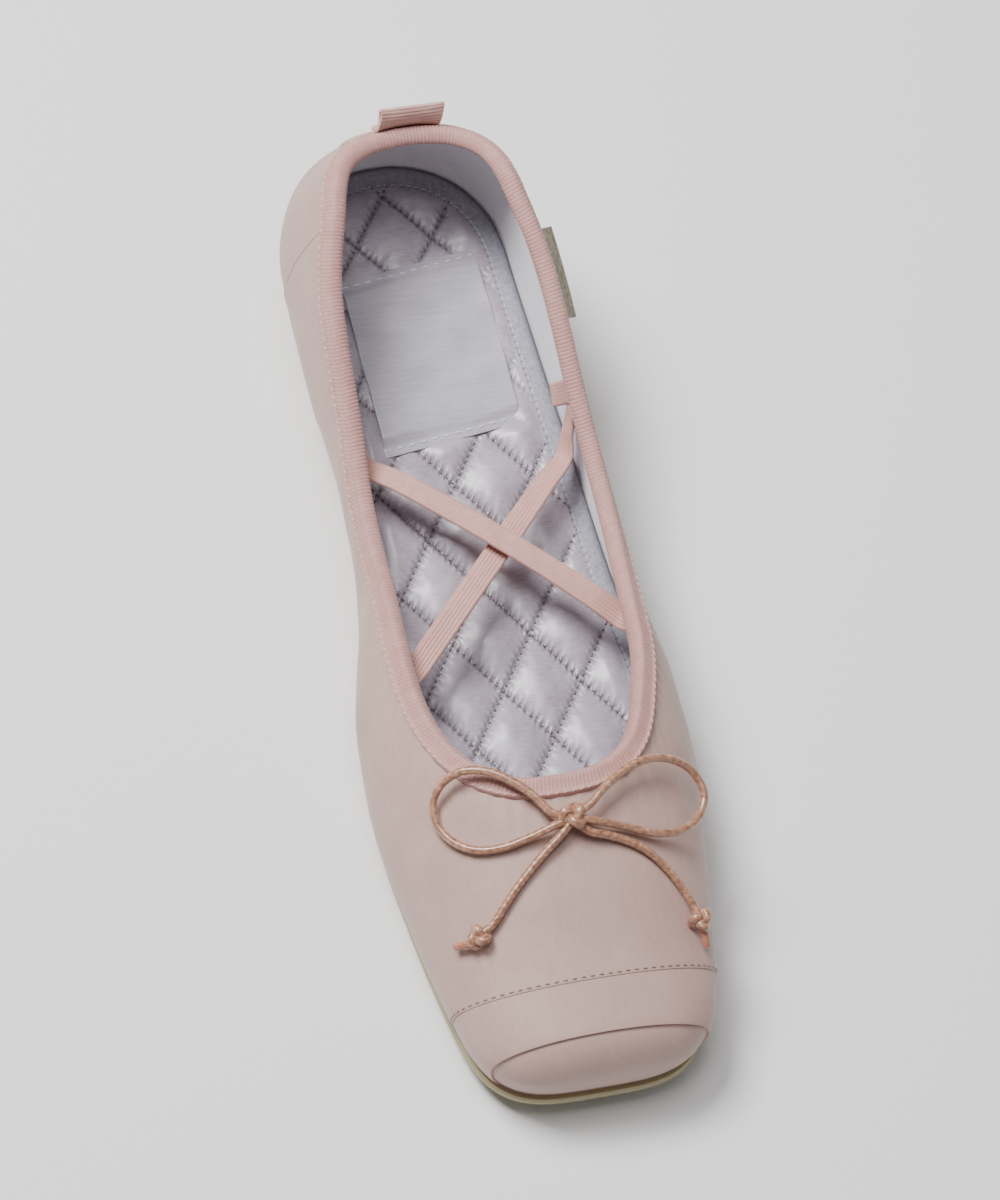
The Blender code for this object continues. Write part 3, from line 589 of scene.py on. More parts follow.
# %% [markdown]
# ## Node trees that repeat things
# Ribs, stitches, cord strands and sole studs repeat hundreds of times along a path or over a
# surface. Geometry Nodes suit that: the tree holds the rule, and its inputs hold the sizes, so one
# tree serves many pieces. After a tree has run, its result is kept as a plain mesh.
# Rules are easier to read as sums than as lists of nodes, so a node's output is wrapped in a small
# class here: adding, multiplying and so on adds the Math nodes that do it.

# %% Values in a tree
class Value:
    """A node's output. Arithmetic on it adds Math nodes, and value["Name"] is another output."""

    def __init__(self, socket):
        self.socket = socket

    def __getitem__(self, key):
        return Value(self.socket.node.outputs[key])

    def then(self, operation, *others):
        """One more step of arithmetic, which starts with this value."""
        return node(self, "ShaderNodeMath", dict(enumerate((self, *others))), operation=operation)


def plug(value, socket):
    """Put a plain value or a node's output into a socket."""
    if isinstance(value, Value):
        socket.id_data.links.new(value.socket, socket)
    else:
        socket.default_value = value


def fill(sockets, values):
    """Plug many values, each into the socket of its name or place."""
    for key, value in values.items():
        plug(value, sockets[key])


def node(beside, kind, inputs=None, **settings):
    """Add a node to a tree, or beside a value, set its options and fill its inputs."""
    tree = beside.socket.id_data if isinstance(beside, Value) else beside
    made = tree.nodes.new(kind)
    for option, value in settings.items():
        setattr(made, option, value)
    fill(made.inputs, inputs or {})
    return Value(made.outputs[0])

# %% Arithmetic in a tree
def arithmetic(operation, backwards=False):
    """A method that adds one Math node, for one of Python's signs."""
    def step(one, other):
        pair = (other, one) if backwards else (one, other)
        return node(one, "ShaderNodeMath", dict(enumerate(pair)), operation=operation)

    return step


SIGNS = {"add": "ADD", "sub": "SUBTRACT", "mul": "MULTIPLY", "truediv": "DIVIDE", "pow": "POWER"}
for sign, operation in SIGNS.items():
    setattr(Value, f"__{sign}__", arithmetic(operation))
    setattr(Value, f"__r{sign}__", arithmetic(operation, backwards=True))


def wave(value, period):
    """A sine wave of a value, from -1 to 1."""
    return (value / period * math.tau).then("SINE")


def span(value, low, high, to_low=0.0, to_high=1.0, **settings):
    """A value's range turned into another one."""
    ends = {"From Min": low, "From Max": high, "To Min": to_low, "To Max": to_high}
    return node(value, "ShaderNodeMapRange", {"Value": value, **ends}, **settings)

# %% Tree helpers
def new_tree(name, inputs, outputs=("Geometry",), kind="GeometryNodeTree"):
    """A node group with named inputs and outputs. Returns its tree, its inputs and its end."""
    tree = bpy.data.node_groups.new(name, kind)
    for way, labels in (("INPUT", inputs), ("OUTPUT", outputs)):
        for label in labels:
            own_kind = label if label in ("Geometry", "Material", "Vector") else "Float"
            tree.interface.new_socket(label, in_out=way, socket_type="NodeSocket" + own_kind)
    source = Value(tree.nodes.new("NodeGroupInput").outputs[0])
    return tree, source, tree.nodes.new("NodeGroupOutput")


def named(tree, name, kind="FLOAT"):
    """A value that was laid on the vertices."""
    found = node(tree, "GeometryNodeInputNamedAttribute", {"Name": name}, data_type=kind)
    return found["Attribute"]


def store(geometry, name, value):
    """Keep a value on the points under a name."""
    return node(
        geometry, "GeometryNodeStoreNamedAttribute",
        {"Geometry": geometry, "Name": name, "Value": value}, data_type="FLOAT", domain="POINT",
    )


def raise_points(geometry, rise):
    """Move each point along its normal."""
    normal = node(geometry, "GeometryNodeInputNormal")
    offset = node(geometry, "ShaderNodeVectorMath", {0: normal, "Scale": rise}, operation="SCALE")
    return node(geometry, "GeometryNodeSetPosition", {"Geometry": geometry, "Offset": offset})


def close_tree(geometry, source, sink):
    """Realize Instances and Set Material end every tree."""
    real = node(source, "GeometryNodeRealizeInstances", {"Geometry": geometry})
    painted = {"Geometry": real, "Material": source["Material"]}
    plug(node(source, "GeometryNodeSetMaterial", painted), sink.inputs[0])


def run_tree(piece, tree, **values):
    """Run a tree on an object with its inputs set, and keep the result as a plain mesh."""
    modifier = piece.modifiers.new(tree.name, "NODES")
    modifier.node_group = tree
    for item in tree.interface.items_tree:
        key = item.name.replace(" ", "_").lower()
        if item.in_out == "INPUT" and key in values:
            modifier[item.identifier] = values[key]
    keep_result(piece)

# %% The tree for ribs
def make_rib_tree():
    """Ribs: each point moves along its normal by a wave of its rib_place value."""
    inputs = ("Geometry", "Pitch", "Height", "Waver", "Seed", "Material")
    tree, source, sink = new_tree("ribs", inputs)
    noise = node(
        tree, "ShaderNodeTexNoise", {"Scale": 350.0, "W": source["Seed"]}, noise_dimensions="4D"
    )
    drift = (noise - 0.5) * source["Waver"]
    rib = wave(named(tree, "rib_place") + drift, source["Pitch"])
    mask = named(tree, "rib_mask")
    # The rib's wave is also kept as relief, from which some finishes paint shade deep in the
    # grooves.
    marked = store(source, "relief", rib * mask)
    close_tree(raise_points(marked, rib * (source["Height"] * mask)), source, sink)
    return tree


rib_tree = make_rib_tree()
print("rib tree nodes:", len(rib_tree.nodes))

# %% The tree for stitches
def make_stitch_tree():
    """Stitches along paths: a rounded bead of thread at every step, lying along the path."""
    inputs = ("Geometry", "Pitch", "Length", "Thickness", "Slant", "Material")
    tree, source, sink = new_tree("stitches", inputs)
    path = node(tree, "GeometryNodeMeshToCurve", {"Mesh": source})
    steps = node(
        tree, "GeometryNodeResampleCurve", {"Curve": path, "Length": source["Pitch"]}, mode="LENGTH"
    )
    bead = node(tree, "GeometryNodeMeshUVSphere", {"Segments": 8, "Rings": 6, "Radius": 0.5})
    size = node(
        tree, "ShaderNodeCombineXYZ",
        {0: source["Length"], 1: source["Thickness"], 2: source["Thickness"]},
    )
    tangent = node(tree, "GeometryNodeInputTangent")
    lying = node(tree, "FunctionNodeAlignRotationToVector", {"Vector": tangent}, axis="X")
    facing = node(
        tree, "FunctionNodeAlignRotationToVector",
        {"Rotation": lying, "Vector": named(tree, "outward", "FLOAT_VECTOR")},
        axis="Z", pivot_axis="X",
    )
    turn = node(
        tree, "FunctionNodeAxisAngleToRotation", {"Axis": (0.0, 0.0, 1.0), "Angle": source["Slant"]}
    )
    slanted = node(tree, "FunctionNodeRotateRotation", {0: facing, 1: turn}, rotation_space="LOCAL")
    beads = node(
        tree, "GeometryNodeInstanceOnPoints",
        {"Points": steps, "Instance": bead, "Rotation": slanted, "Scale": size},
    )
    close_tree(node(tree, "GeometryNodeSetShadeSmooth", {0: beads}), source, sink)
    return tree


stitch_tree = make_stitch_tree()
print("stitch tree nodes:", len(stitch_tree.nodes))


def sew(name, paths, thread, pitch, length, thickness, outward=None, slant=0.0):
    """Rows of stitches along paths on a surface, which looks outward or, if not told, up."""
    piece = path_object(name, paths)
    ways = [np.tile(UP, (len(path), 1)) for path in paths] if outward is None else outward
    lay_values(piece, "outward", np.concatenate(ways), "FLOAT_VECTOR", "vector")
    run_tree(
        piece, stitch_tree, pitch=pitch * MM, length=length * MM, thickness=thickness * MM,
        slant=math.radians(slant), material=thread,
    )
    place(piece)

# %% The tree for braided cord
def make_cord_tree():
    """A round cord along a path, with a fine two-way braid pressed into it."""
    inputs = ("Geometry", "Radius", "Strands", "Lay", "Groove", "Material")
    tree, source, sink = new_tree("braided_cord", inputs)
    path = node(tree, "GeometryNodeMeshToCurve", {"Mesh": source})
    path = store(path, "reach", node(tree, "GeometryNodeSplineParameter")["Length"])
    ring = node(
        tree, "GeometryNodeCurvePrimitiveCircle", {"Resolution": 20, "Radius": source["Radius"]}
    )
    turn = node(tree, "GeometryNodeSplineParameter")["Factor"] * math.tau
    tube = node(
        tree, "GeometryNodeCurveToMesh",
        {"Curve": path, "Profile Curve": store(ring, "place_round", turn), "Fill Caps": True},
    )
    strand = named(tree, "place_round") * source["Strands"]
    lay = named(tree, "reach") / source["Lay"] * math.tau
    braid = (strand + lay).then("SINE") * (strand - lay).then("SINE")
    # The braid is also kept as relief, from which the cord's finish paints shade in the braid's
    # grooves.
    raised = raise_points(store(tube, "relief", braid), braid * source["Groove"])
    close_tree(node(tree, "GeometryNodeSetShadeSmooth", {0: raised}), source, sink)
    return tree


cord_tree = make_cord_tree()
print("cord tree nodes:", len(cord_tree.nodes))

# %% [markdown]
# ## Cloth, thread and rubber
# Satin, elastic, tape and lining differ in colour and gloss, but they share the same small-scale
# story: threads crossing at a fixed pitch, now and then a thicker thread, and a slow unevenness of
# shade. That story is one node group, with its sizes as inputs. Each material then sets its own
# colours, roughness and sheen on its own shader.

# %% The cloth group
def colour(red, green, blue):
    """A colour from display values of 0 to 255, as the linear values that shaders take."""
    shares = [value / 255.0 for value in (red, green, blue)]
    return (*(v / 12.92 if v <= 0.04045 else ((v + 0.055) / 1.055) ** 2.4 for v in shares), 1.0)


def make_cloth_group():
    """Thread relief and uneven shade, from coordinates in metres."""
    inputs = ("Vector", "Thread Pitch", "Slub Length", "Mottle Size")
    tree, source, sink = new_tree("cloth", inputs, ("Weave", "Shade"), "ShaderNodeTree")
    split = node(tree, "ShaderNodeSeparateXYZ", {0: source})
    pitch = source["Thread Pitch"]
    threads = wave(split[0], pitch) * wave(split[1], pitch)
    weave = threads.then("MULTIPLY_ADD", 0.5, 0.5)
    slub = node(
        tree, "ShaderNodeCombineXYZ",
        {
            0: split[0] / source["Slub Length"], 1: split[1] / (pitch * 1.6),
            2: split[2] / (pitch * 1.6),
        },
    )
    streak = node(tree, "ShaderNodeTexNoise", {"Vector": slub, "Scale": 1.0, "Detail": 2.0})
    patch = node(
        tree, "ShaderNodeTexNoise",
        {"Vector": source, "Detail": 4.0, "Roughness": 0.6, "Scale": 1.0 / source["Mottle Size"]},
    )
    plug(streak.then("MULTIPLY_ADD", 0.8, weave * 0.35), sink.inputs["Weave"])
    plug(streak.then("MULTIPLY_ADD", 0.45, patch * 0.55), sink.inputs["Shade"])
    return tree


cloth_group = make_cloth_group()
print("cloth group nodes:", len(cloth_group.nodes))

# %% A cloth material
SHADE_HALF_RANGE = 0.22


def mix(share, one, other):
    """A mix of two colours."""
    colours = {"Factor": share, 6: one, 7: other}
    return node(share, "ShaderNodeMix", colours, data_type="RGBA")[2]


def cloth(
    name, dark, light, roughness, thread, slub, mottle, bump, sheen=0.2, gloss=0.4, contrast=1.0,
    groove_shade=None, depth=0.35, lengthwise=False,
):
    """A woven or knitted finish between two colours, with sizes in millimetres.

    The groove colour is painted shade, laid deep between the ribs, and depth is its share.
    """
    material, tree, shader = new_material(name)
    at = node(tree, "ShaderNodeTexCoord")["Object"]
    if lengthwise:
        parts = node(tree, "ShaderNodeSeparateXYZ", {0: at})
        at = node(tree, "ShaderNodeCombineXYZ", {0: parts[1], 1: parts[0], 2: parts[2]})
    sizes = {"Thread Pitch": thread * MM, "Slub Length": slub * MM, "Mottle Size": mottle * MM}
    weave = node(tree, "ShaderNodeGroup", node_tree=cloth_group)
    fill(weave.socket.node.inputs, {"Vector": at, **sizes})
    shade, half = weave["Shade"], SHADE_HALF_RANGE / contrast
    tint = mix(span(shade, 0.5 - half, 0.5 + half), colour(*dark), colour(*light))
    # Painted shade: where the relief value is low, deep between ribs, the colour is mixed towards
    # the groove colour by up to depth.
    if groove_shade is not None:
        relief = node(tree, "ShaderNodeAttribute", attribute_name="relief")["Fac"]
        tint = mix(span(relief, -1.0, 0.5, depth, 0.0), tint, colour(*groove_shade))
    relief = node(
        tree, "ShaderNodeBump", {"Height": weave["Weave"], "Strength": 0.6, "Distance": bump * MM}
    )
    rough = span(shade, 0.0, 1.0, roughness + 0.06, roughness - 0.06)
    fill(shader.inputs, {
        "Base Color": tint, "Roughness": rough, "Normal": relief,
        "Sheen Weight": sheen, "Sheen Roughness": 0.4, "Specular IOR Level": gloss,
    })
    return material

# %% All the finishes
# Each has its name, dark and light colour, roughness, thread pitch, slub, mottle and bump.
# A groove colour, where a finish gives one, is painted shade deep between its ribs or in its braid.
satin = cloth(
    "pale_pink_satin", (177, 145, 136), (198, 166, 156), 0.48, 0.34, 7.0, 12.0, 0.04,
    sheen=0.05, gloss=0.35, contrast=0.75, lengthwise=True,
)
label_satin = cloth(
    "label_satin", (156, 152, 162), (190, 187, 196), 0.34, 0.3, 10.0, 12.0, 0.012,
    sheen=0.1, gloss=0.6,
)
lining_cloth = cloth(
    "lining_cloth", (235, 232, 238), (250, 248, 252), 0.75, 0.5, 2.0, 5.0, 0.05,
    sheen=0.9, gloss=0.3,
)
border_tape = cloth(
    "grey_border_tape", (138, 136, 147), (172, 170, 181), 0.75, 0.6, 1.0, 1.0, 0.14,
    gloss=0.25, contrast=1.2, groove_shade=(70, 66, 76), depth=0.85,
)
binding_elastic = cloth(
    "pink_binding_elastic", (187, 139, 132), (207, 160, 153), 0.6, 0.4, 1.5, 3.0, 0.05,
    sheen=0.3, gloss=0.35, contrast=1.2, groove_shade=(150, 98, 91), depth=0.26,
)
strap_elastic = cloth(
    "pink_strap_elastic", (200, 149, 139), (222, 176, 166), 0.58, 0.35, 2.0, 4.0, 0.04,
    sheen=0.3, gloss=0.35, groove_shade=(160, 106, 97),
)
pull_tape = cloth(
    "rose_grosgrain", (200, 148, 138), (236, 192, 181), 0.6, 0.4, 3.0, 3.0, 0.05,
    groove_shade=(160, 108, 98), depth=0.28,
)
olive_tape = cloth(
    "olive_woven_tape", (98, 88, 66), (170, 160, 134), 0.8, 0.9, 1.2, 1.2, 0.16,
    gloss=0.2, contrast=1.3,
)
cord_satin = cloth(
    "rose_gold_cord", (130, 84, 62), (212, 160, 130), 0.27, 0.3, 2.4, 1.2, 0.05,
    sheen=0.1, gloss=1.0, contrast=1.5, groove_shade=(112, 68, 50), depth=0.5,
)
cord_tip = cloth(
    "waxed_cord_tip", (150, 88, 62), (200, 136, 108), 0.3, 0.3, 1.6, 1.2, 0.03,
    sheen=0.1, gloss=0.8,
)
THREAD = {"thread": 0.2, "slub": 0.6, "mottle": 1.5, "bump": 0.02}
pink_thread = cloth("pink_thread", (226, 192, 184), (244, 220, 214), 0.5, gloss=0.5, **THREAD)
dark_thread = cloth("mauve_thread", (94, 84, 92), (130, 120, 128), 0.6, **THREAD)
seam_thread = cloth("taupe_thread", (126, 104, 98), (150, 128, 120), 0.6, **THREAD)
grey_thread = cloth("grey_thread", (186, 183, 190), (214, 211, 218), 0.6, **THREAD)
pale_thread = cloth("silver_thread", (222, 220, 226), (240, 238, 242), 0.5, gloss=0.5, **THREAD)

# %% Gum rubber
def make_gum():
    """Clear gum rubber: yellowish olive, a little cloudy, and soft in its gloss."""
    material, tree, shader = new_material("gum_rubber")
    at = node(tree, "ShaderNodeTexCoord")["Object"]
    cloud = node(tree, "ShaderNodeTexNoise", {"Vector": at, "Scale": 60.0, "Detail": 3.0})
    fine = node(tree, "ShaderNodeTexNoise", {"Vector": at, "Scale": 1800.0, "Detail": 2.0})
    relief = node(
        tree, "ShaderNodeBump", {"Height": fine, "Strength": 0.3, "Distance": 0.03 * MM}
    )
    fill(shader.inputs, {
        "Base Color": mix(cloud, colour(152, 141, 104), colour(181, 170, 133)),
        "Roughness": span(fine, 0.0, 1.0, 0.38, 0.52), "Normal": relief,
        "Subsurface Weight": 0.35, "Subsurface Radius": (1.0, 0.8, 0.3),
        "Subsurface Scale": 0.003,
    })
    return material


gum_rubber = make_gum()

# %% [markdown]
# ## The sock's satin
# The sock is satin over foam, sewn down in diamonds. Its folds come from geometry later, but the
# shade in the sewn valleys and the finest gathers beside the thread are too small for a mesh. A
# second group works them out from the same rule, so that they fall exactly on the stitch lines.

# %% Diamonds in the satin
QUILT_ORIGIN = (9.9, -99.7)
QUILT_WIDE, QUILT_LONG = 19.3, 27.2
STITCH_PITCH = 1.8
VALLEY_WIDTH, VALLEY_SHADE, GATHER_WIDTH, GATHER_HEIGHT = 1.3, 0.46, 2.8, 0.22
QUILT_SIZES = {
    "Cell Width": QUILT_WIDE, "Cell Length": QUILT_LONG,
    "Origin X": QUILT_ORIGIN[0], "Origin Y": QUILT_ORIGIN[1],
}


def cell_place(split, source):
    """How many cells across and along from the origin a point is."""
    return (
        (split[0] - source["Origin X"]) / source["Cell Width"],
        (split[1] - source["Origin Y"]) / source["Cell Length"],
    )


def make_diamond_group():
    """How near a point is to the quilting lines, and the fine gathers beside them."""
    inputs = ("Vector", *QUILT_SIZES, "Pitch", "Valley Width", "Gather Width")
    tree, source, sink = new_tree("diamond_lines", inputs, ("Valley", "Gathers"), "ShaderNodeTree")
    wander = node(tree, "ShaderNodeTexNoise", {"Vector": source, "Scale": 260.0})
    across, along = cell_place(node(tree, "ShaderNodeSeparateXYZ", {0: source}), source)
    half_wide, half_long = source["Cell Width"] / 2.0, source["Cell Length"] / 2.0
    side = (half_wide**2.0 + half_long**2.0).then("SQRT")
    apart = half_wide * half_long * 2.0 / side
    valleys, gathers = [], []
    for line, run in ((across + along, across - along), (across - along, across + along)):
        away = (line - line.then("ROUND")).then("ABSOLUTE") * apart
        valley, near = (
            span(away, 0.0, source[width], 1.0, 0.0, interpolation_type="SMOOTHSTEP")
            for width in ("Valley Width", "Gather Width")
        )
        run = wander.then("MULTIPLY_ADD", 0.9, run * side / source["Pitch"])
        valleys.append(valley)
        gathers.append((run * math.tau).then("COSINE") * (near * near))
    plug(valleys[0].then("MAXIMUM", valleys[1]), sink.inputs["Valley"])
    plug(gathers[0] + gathers[1], sink.inputs["Gathers"])
    return tree


diamond_group = make_diamond_group()
print("diamond group nodes:", len(diamond_group.nodes))

# %% The quilted finish
def make_sock_satin():
    """Glossy lilac-grey satin, with painted shade down the stitch lines, and gathered beside the
    thread.
    """
    material = cloth(
        "lilac_sock_satin", (146, 135, 146), (192, 183, 194), 0.4, 0.25, 4.0, 10.0, 0.012,
        sheen=0.15, gloss=1.0,
    )
    tree = material.node_tree
    shader = tree.nodes["Principled BSDF"]
    lines = node(tree, "ShaderNodeGroup", node_tree=diamond_group)
    sizes = {**QUILT_SIZES, "Pitch": STITCH_PITCH, "Valley Width": VALLEY_WIDTH}
    sizes = {label: size * MM for label, size in {**sizes, "Gather Width": GATHER_WIDTH}.items()}
    at = node(tree, "ShaderNodeTexCoord")["Object"]
    fill(lines.socket.node.inputs, {"Vector": at, **sizes})
    quilted = node(tree, "ShaderNodeAttribute", attribute_name="quilt_mask")["Fac"]
    tint = Value(shader.inputs["Base Color"].links[0].from_socket)
    # Painted shade: down the stitched valleys the colour is mixed towards a dark mauve, the shade
    # that the sunk lines would hold.
    sunk = lines["Valley"] * quilted * VALLEY_SHADE
    plug(mix(sunk, tint, colour(84, 72, 82)), shader.inputs["Base Color"])
    height = {"Height": lines["Gathers"] * quilted, "Distance": GATHER_HEIGHT * MM}
    gathers = node(tree, "ShaderNodeBump", {**height, "Strength": 1.0})
    plug(gathers, shader.inputs["Normal"].links[0].from_node.inputs["Normal"])
    return material


sock_satin = make_sock_satin()
print("sock satin nodes:", len(sock_satin.node_tree.nodes))

# %% [markdown]
# ## The satin upper
# The outside is pale satin in four panels: one piece for the vamp and both quarters, a counter
# panel round the heel, a toe panel and the small platform at the very tip. Each panel could be
# modelled alone, but then their edges would never quite meet. Instead one fine grid follows the
# last, and planes cut it where the seams run. Each cut panel is lifted by its place in the overlap,
# then given thickness, so every seam shows a real folded edge. Soft creases are pressed in first.

# %% The fine grid
PANEL_LEAF_DEPTHS = (0.0, 1.0, 2.0, 3.0, 4.0, 5.0)
LOW_SHARES = (0.92, 0.82, 0.72, 0.62, 0.52, 0.42, 0.32, 0.22, 0.14, 0.07, 0.0)
shoe = ShoeGrid(170, PANEL_LEAF_DEPTHS, 44, LOW_SHARES)
shoe_reach = polyline_length(closed(shoe.points[:, -1]))
print("fine grid:", shoe.points.shape)

# %% Soft creases
# Each crease: points along it, half its width, its depth.
CREASES = (
    (((-33.0, -58.0, 36.0), (-34.5, -66.0, 28.0), (-35.0, -74.0, 20.0)), 4.5, 0.55),
    (((-34.0, -84.0, 30.0), (-37.0, -93.0, 22.0), (-38.5, -99.0, 14.0)), 5.0, 0.5),
    (((-33.5, -118.0, 34.0), (-37.5, -124.0, 25.0), (-38.8, -131.0, 16.0)), 5.5, 0.45),
    (((34.0, -62.0, 34.0), (36.0, -71.0, 26.0), (36.5, -80.0, 17.0)), 4.5, 0.5),
    (((36.5, -104.0, 32.0), (39.0, -112.0, 23.0), (39.5, -120.0, 14.0)), 5.0, 0.45),
    (((-23.0, -143.0, 42.0), (-30.0, -150.0, 34.0), (-35.0, -158.0, 25.0)), 3.5, 0.35),
    (((24.0, -142.0, 42.0), (31.0, -150.0, 34.0), (36.0, -159.0, 24.0)), 3.5, 0.35),
    (((-12.0, -172.0, 42.0), (-13.0, -182.0, 39.0), (-13.5, -192.0, 36.0)), 3.0, 0.1),
    (((9.0, -170.0, 43.0), (10.0, -181.0, 40.0), (10.5, -192.0, 37.0)), 3.0, 0.1),
    (((-22.0, 16.0, 52.0), (-24.5, 14.0, 40.0), (-26.0, 12.0, 28.0)), 4.0, 0.4),
    (((22.0, 16.0, 52.0), (24.5, 14.0, 40.0), (26.0, 12.0, 28.0)), 4.0, 0.4),
)
RIDGE_SHARE, RIDGE_AT, RIDGE_SPREAD = 0.55, 1.7, 0.5
PUCKER_PITCH, PUCKER_DEPTH, PUCKER_FROM, PUCKER_REACH = 4.6, 0.16, 4.5, 7.0
PUCKER_ROW, DRIFT_LONG, DRIFT_SHORT = 6, 23.0, 11.3


def crease_depth(points):
    """How far each point sinks into the creases. A low ridge stands beside each trough."""
    sunk = np.zeros(points.shape[:-1])
    for line, width, depth in CREASES:
        line = even_path(line, 1.0)
        away, end = np.full(sunk.shape, 1e9), np.zeros(sunk.shape)
        for index, spot in enumerate(line):
            near = np.linalg.norm(points - spot, axis=-1)
            closer = near < away
            away = np.where(closer, near, away)
            end = np.where(closer, index / (len(line) - 1), end)
        fade = np.sin(math.pi * np.clip(end, 0.02, 0.98)) ** 0.7
        r = away / width
        ridge = RIDGE_SHARE * np.exp(-((r - RIDGE_AT) ** 2) / RIDGE_SPREAD)
        sunk += depth * fade * (np.exp(-r**2) - ridge)
    return sunk


def rim_puckers(points, depth_down):
    """Small gathers where the elastic draws in the satin, fading down the wall."""
    along = polyline_length(points[:, PUCKER_ROW])[:, None]
    slow = np.sin(along / DRIFT_LONG) + np.sin(along / DRIFT_SHORT + 1.0)
    fade = np.exp(-np.maximum(depth_down - PUCKER_FROM, 0.0) / PUCKER_REACH)
    return PUCKER_DEPTH * fade * np.sin(math.tau * along / PUCKER_PITCH + 2.0 * slow)


down_steps = np.linalg.norm(np.diff(shoe.points, axis=1), axis=2)
column_down = np.pad(np.cumsum(down_steps, axis=1), ((0, 0), (1, 0)))
sunk = crease_depth(shoe.points) + rim_puckers(shoe.points, column_down)
worn = shoe.points - shoe.normals * sunk[..., None]
print("deepest crease, mm:", round(float(np.abs(worn - shoe.points).max()), 2))

# %% Cutting panels out of the grid
SATIN_THICKNESS = 0.7
TOE_SEAM = {"at": (0.0, -198.8, 41.0), "normal": (0.0, 1.0, 0.135)}
COUNTER_SEAM = {"at": (0.0, -5.8, 54.2), "normal": (0.0, 1.0, 0.116)}
PLATFORM_SEAM = {"at": (0.0, -210.0, 28.0), "normal": (0.0, 1.0, 0.0)}
FEATHER_EDGE, FEATHER_TUCK, FEATHER_DROP = 0.3, 3.0, 0.05


def satin_sheet(lift):
    """The whole outer surface, lifted off the last and turned in under the feather line."""
    turned = [shoe.loop(0.0, inset) for inset in (FEATHER_EDGE, FEATHER_TUCK)]
    turned = np.stack(turned, axis=1) - (0.0, 0.0, FEATHER_DROP)
    grid = np.concatenate([worn + shoe.normals * lift, turned], axis=1)
    sheet = bmesh.new()
    verts = [sheet.verts.new(point) for point in grid.reshape(-1, 3) * MM]
    for quad in grid_faces(*grid.shape[:2], ring=True):
        sheet.faces.new([verts[corner] for corner in quad])
    return sheet


def keep_side(sheet, seam, towards_heel, push):
    """Cut the sheet by a seam plane and keep one side. push moves the plane towards the heel."""
    bmesh.ops.bisect_plane(
        sheet, geom=sheet.verts[:] + sheet.edges[:] + sheet.faces[:], dist=1e-7,
        plane_co=(Vector(seam["at"]) + Vector((0.0, push, 0.0))) * MM,
        plane_no=Vector(seam["normal"]).normalized(),
        clear_inner=towards_heel, clear_outer=not towards_heel,
    )


def panel(name, lift, cuts, replaced):
    """A finished satin panel, cut from a fresh sheet."""
    sheet = satin_sheet(lift)
    for cut in cuts:
        keep_side(sheet, *cut)
    bmesh.ops.recalc_face_normals(sheet, faces=sheet.faces)
    middle = sum((v.co for v in sheet.verts), Vector()) / len(sheet.verts)
    if sum(f.normal.dot(f.calc_center_median() - middle) for f in sheet.faces) < 0:
        bmesh.ops.reverse_faces(sheet, faces=sheet.faces)
    mesh = bpy.data.meshes.new(name)
    sheet.to_mesh(mesh)
    sheet.free()
    mesh.materials.append(satin)
    piece = add_object(name, mesh)
    thicken(piece, SATIN_THICKNESS)
    place(piece, replaced)

# %% The four panels
# Each panel: its name, its lift, its cuts (seam, whether the heel's side stays, push), and the
# CAD node that it hides.
for satin_panel in (
    ("vamp_and_quarters", 0.20, ((TOE_SEAM, True, 0.0), (COUNTER_SEAM, False, 0.0)), ("upper",)),
    ("heel_counter", -0.10, ((COUNTER_SEAM, True, -3.0),), ()),
    ("toe_panel", 0.0, ((TOE_SEAM, False, 3.0), (PLATFORM_SEAM, True, 0.0)), ()),
    ("toe_platform", -0.65, ((PLATFORM_SEAM, False, 2.5),), ()),
):
    panel(*satin_panel)

# %% [markdown]
# ## Back strip and seam stitches
# A narrow satin strip covers the closed seam at the back of the heel, and a row of taupe stitches
# holds the toe seam and the counter's. The strip is a lifted copy of the grid's own columns, so it
# hugs the heel. The stitches are many and all alike, so the stitch tree lays them along a line
# drawn just behind each fold.

# %% The back strip
BACK_STRIP_HALF, BACK_STRIP_LIFT, BACK_STRIP_EDGE = 12.0, 0.75, 1.4
BACK_STRIP_MARGIN, BACK_STRIP_TOP_ROW = 9.0, 2
strip_x = np.linspace(-BACK_STRIP_HALF, BACK_STRIP_HALF, 41)


def strip_rows_at(lift):
    """The heel's outer surface, raised a little and read at even steps across the strip."""
    half_way = len(shoe.points) // 2
    near = int(np.searchsorted(shoe_reach[:half_way], BACK_STRIP_HALF + BACK_STRIP_MARGIN))
    raised = (worn + shoe.normals * lift)[np.arange(-near, near + 1)]
    rows = []
    for row in np.moveaxis(raised, 1, 0)[BACK_STRIP_TOP_ROW:]:
        row = row[np.argsort(row[:, 0])]
        rows.append([strip_x, *(np.interp(strip_x, row[:, 0], row[:, i]) for i in (1, 2))])
    return np.moveaxis(np.array(rows), 2, 0)


strip_edge = np.clip((BACK_STRIP_HALF - np.abs(strip_x)) / BACK_STRIP_EDGE, 0.0, 1.0) ** 0.5
strip_edge = strip_edge[:, None, None]
strip_grid = strip_rows_at(0.1) * (1.0 - strip_edge) + strip_rows_at(BACK_STRIP_LIFT) * strip_edge
back_strip = grid_piece("back_strip", strip_grid, satin)
thicken(back_strip, 0.6)
place(back_strip)

# %% Stitches along the seams
LEG_STEPS, LEG_END, CLEAR_OF_BINDING = 30, 0.88, 4.6


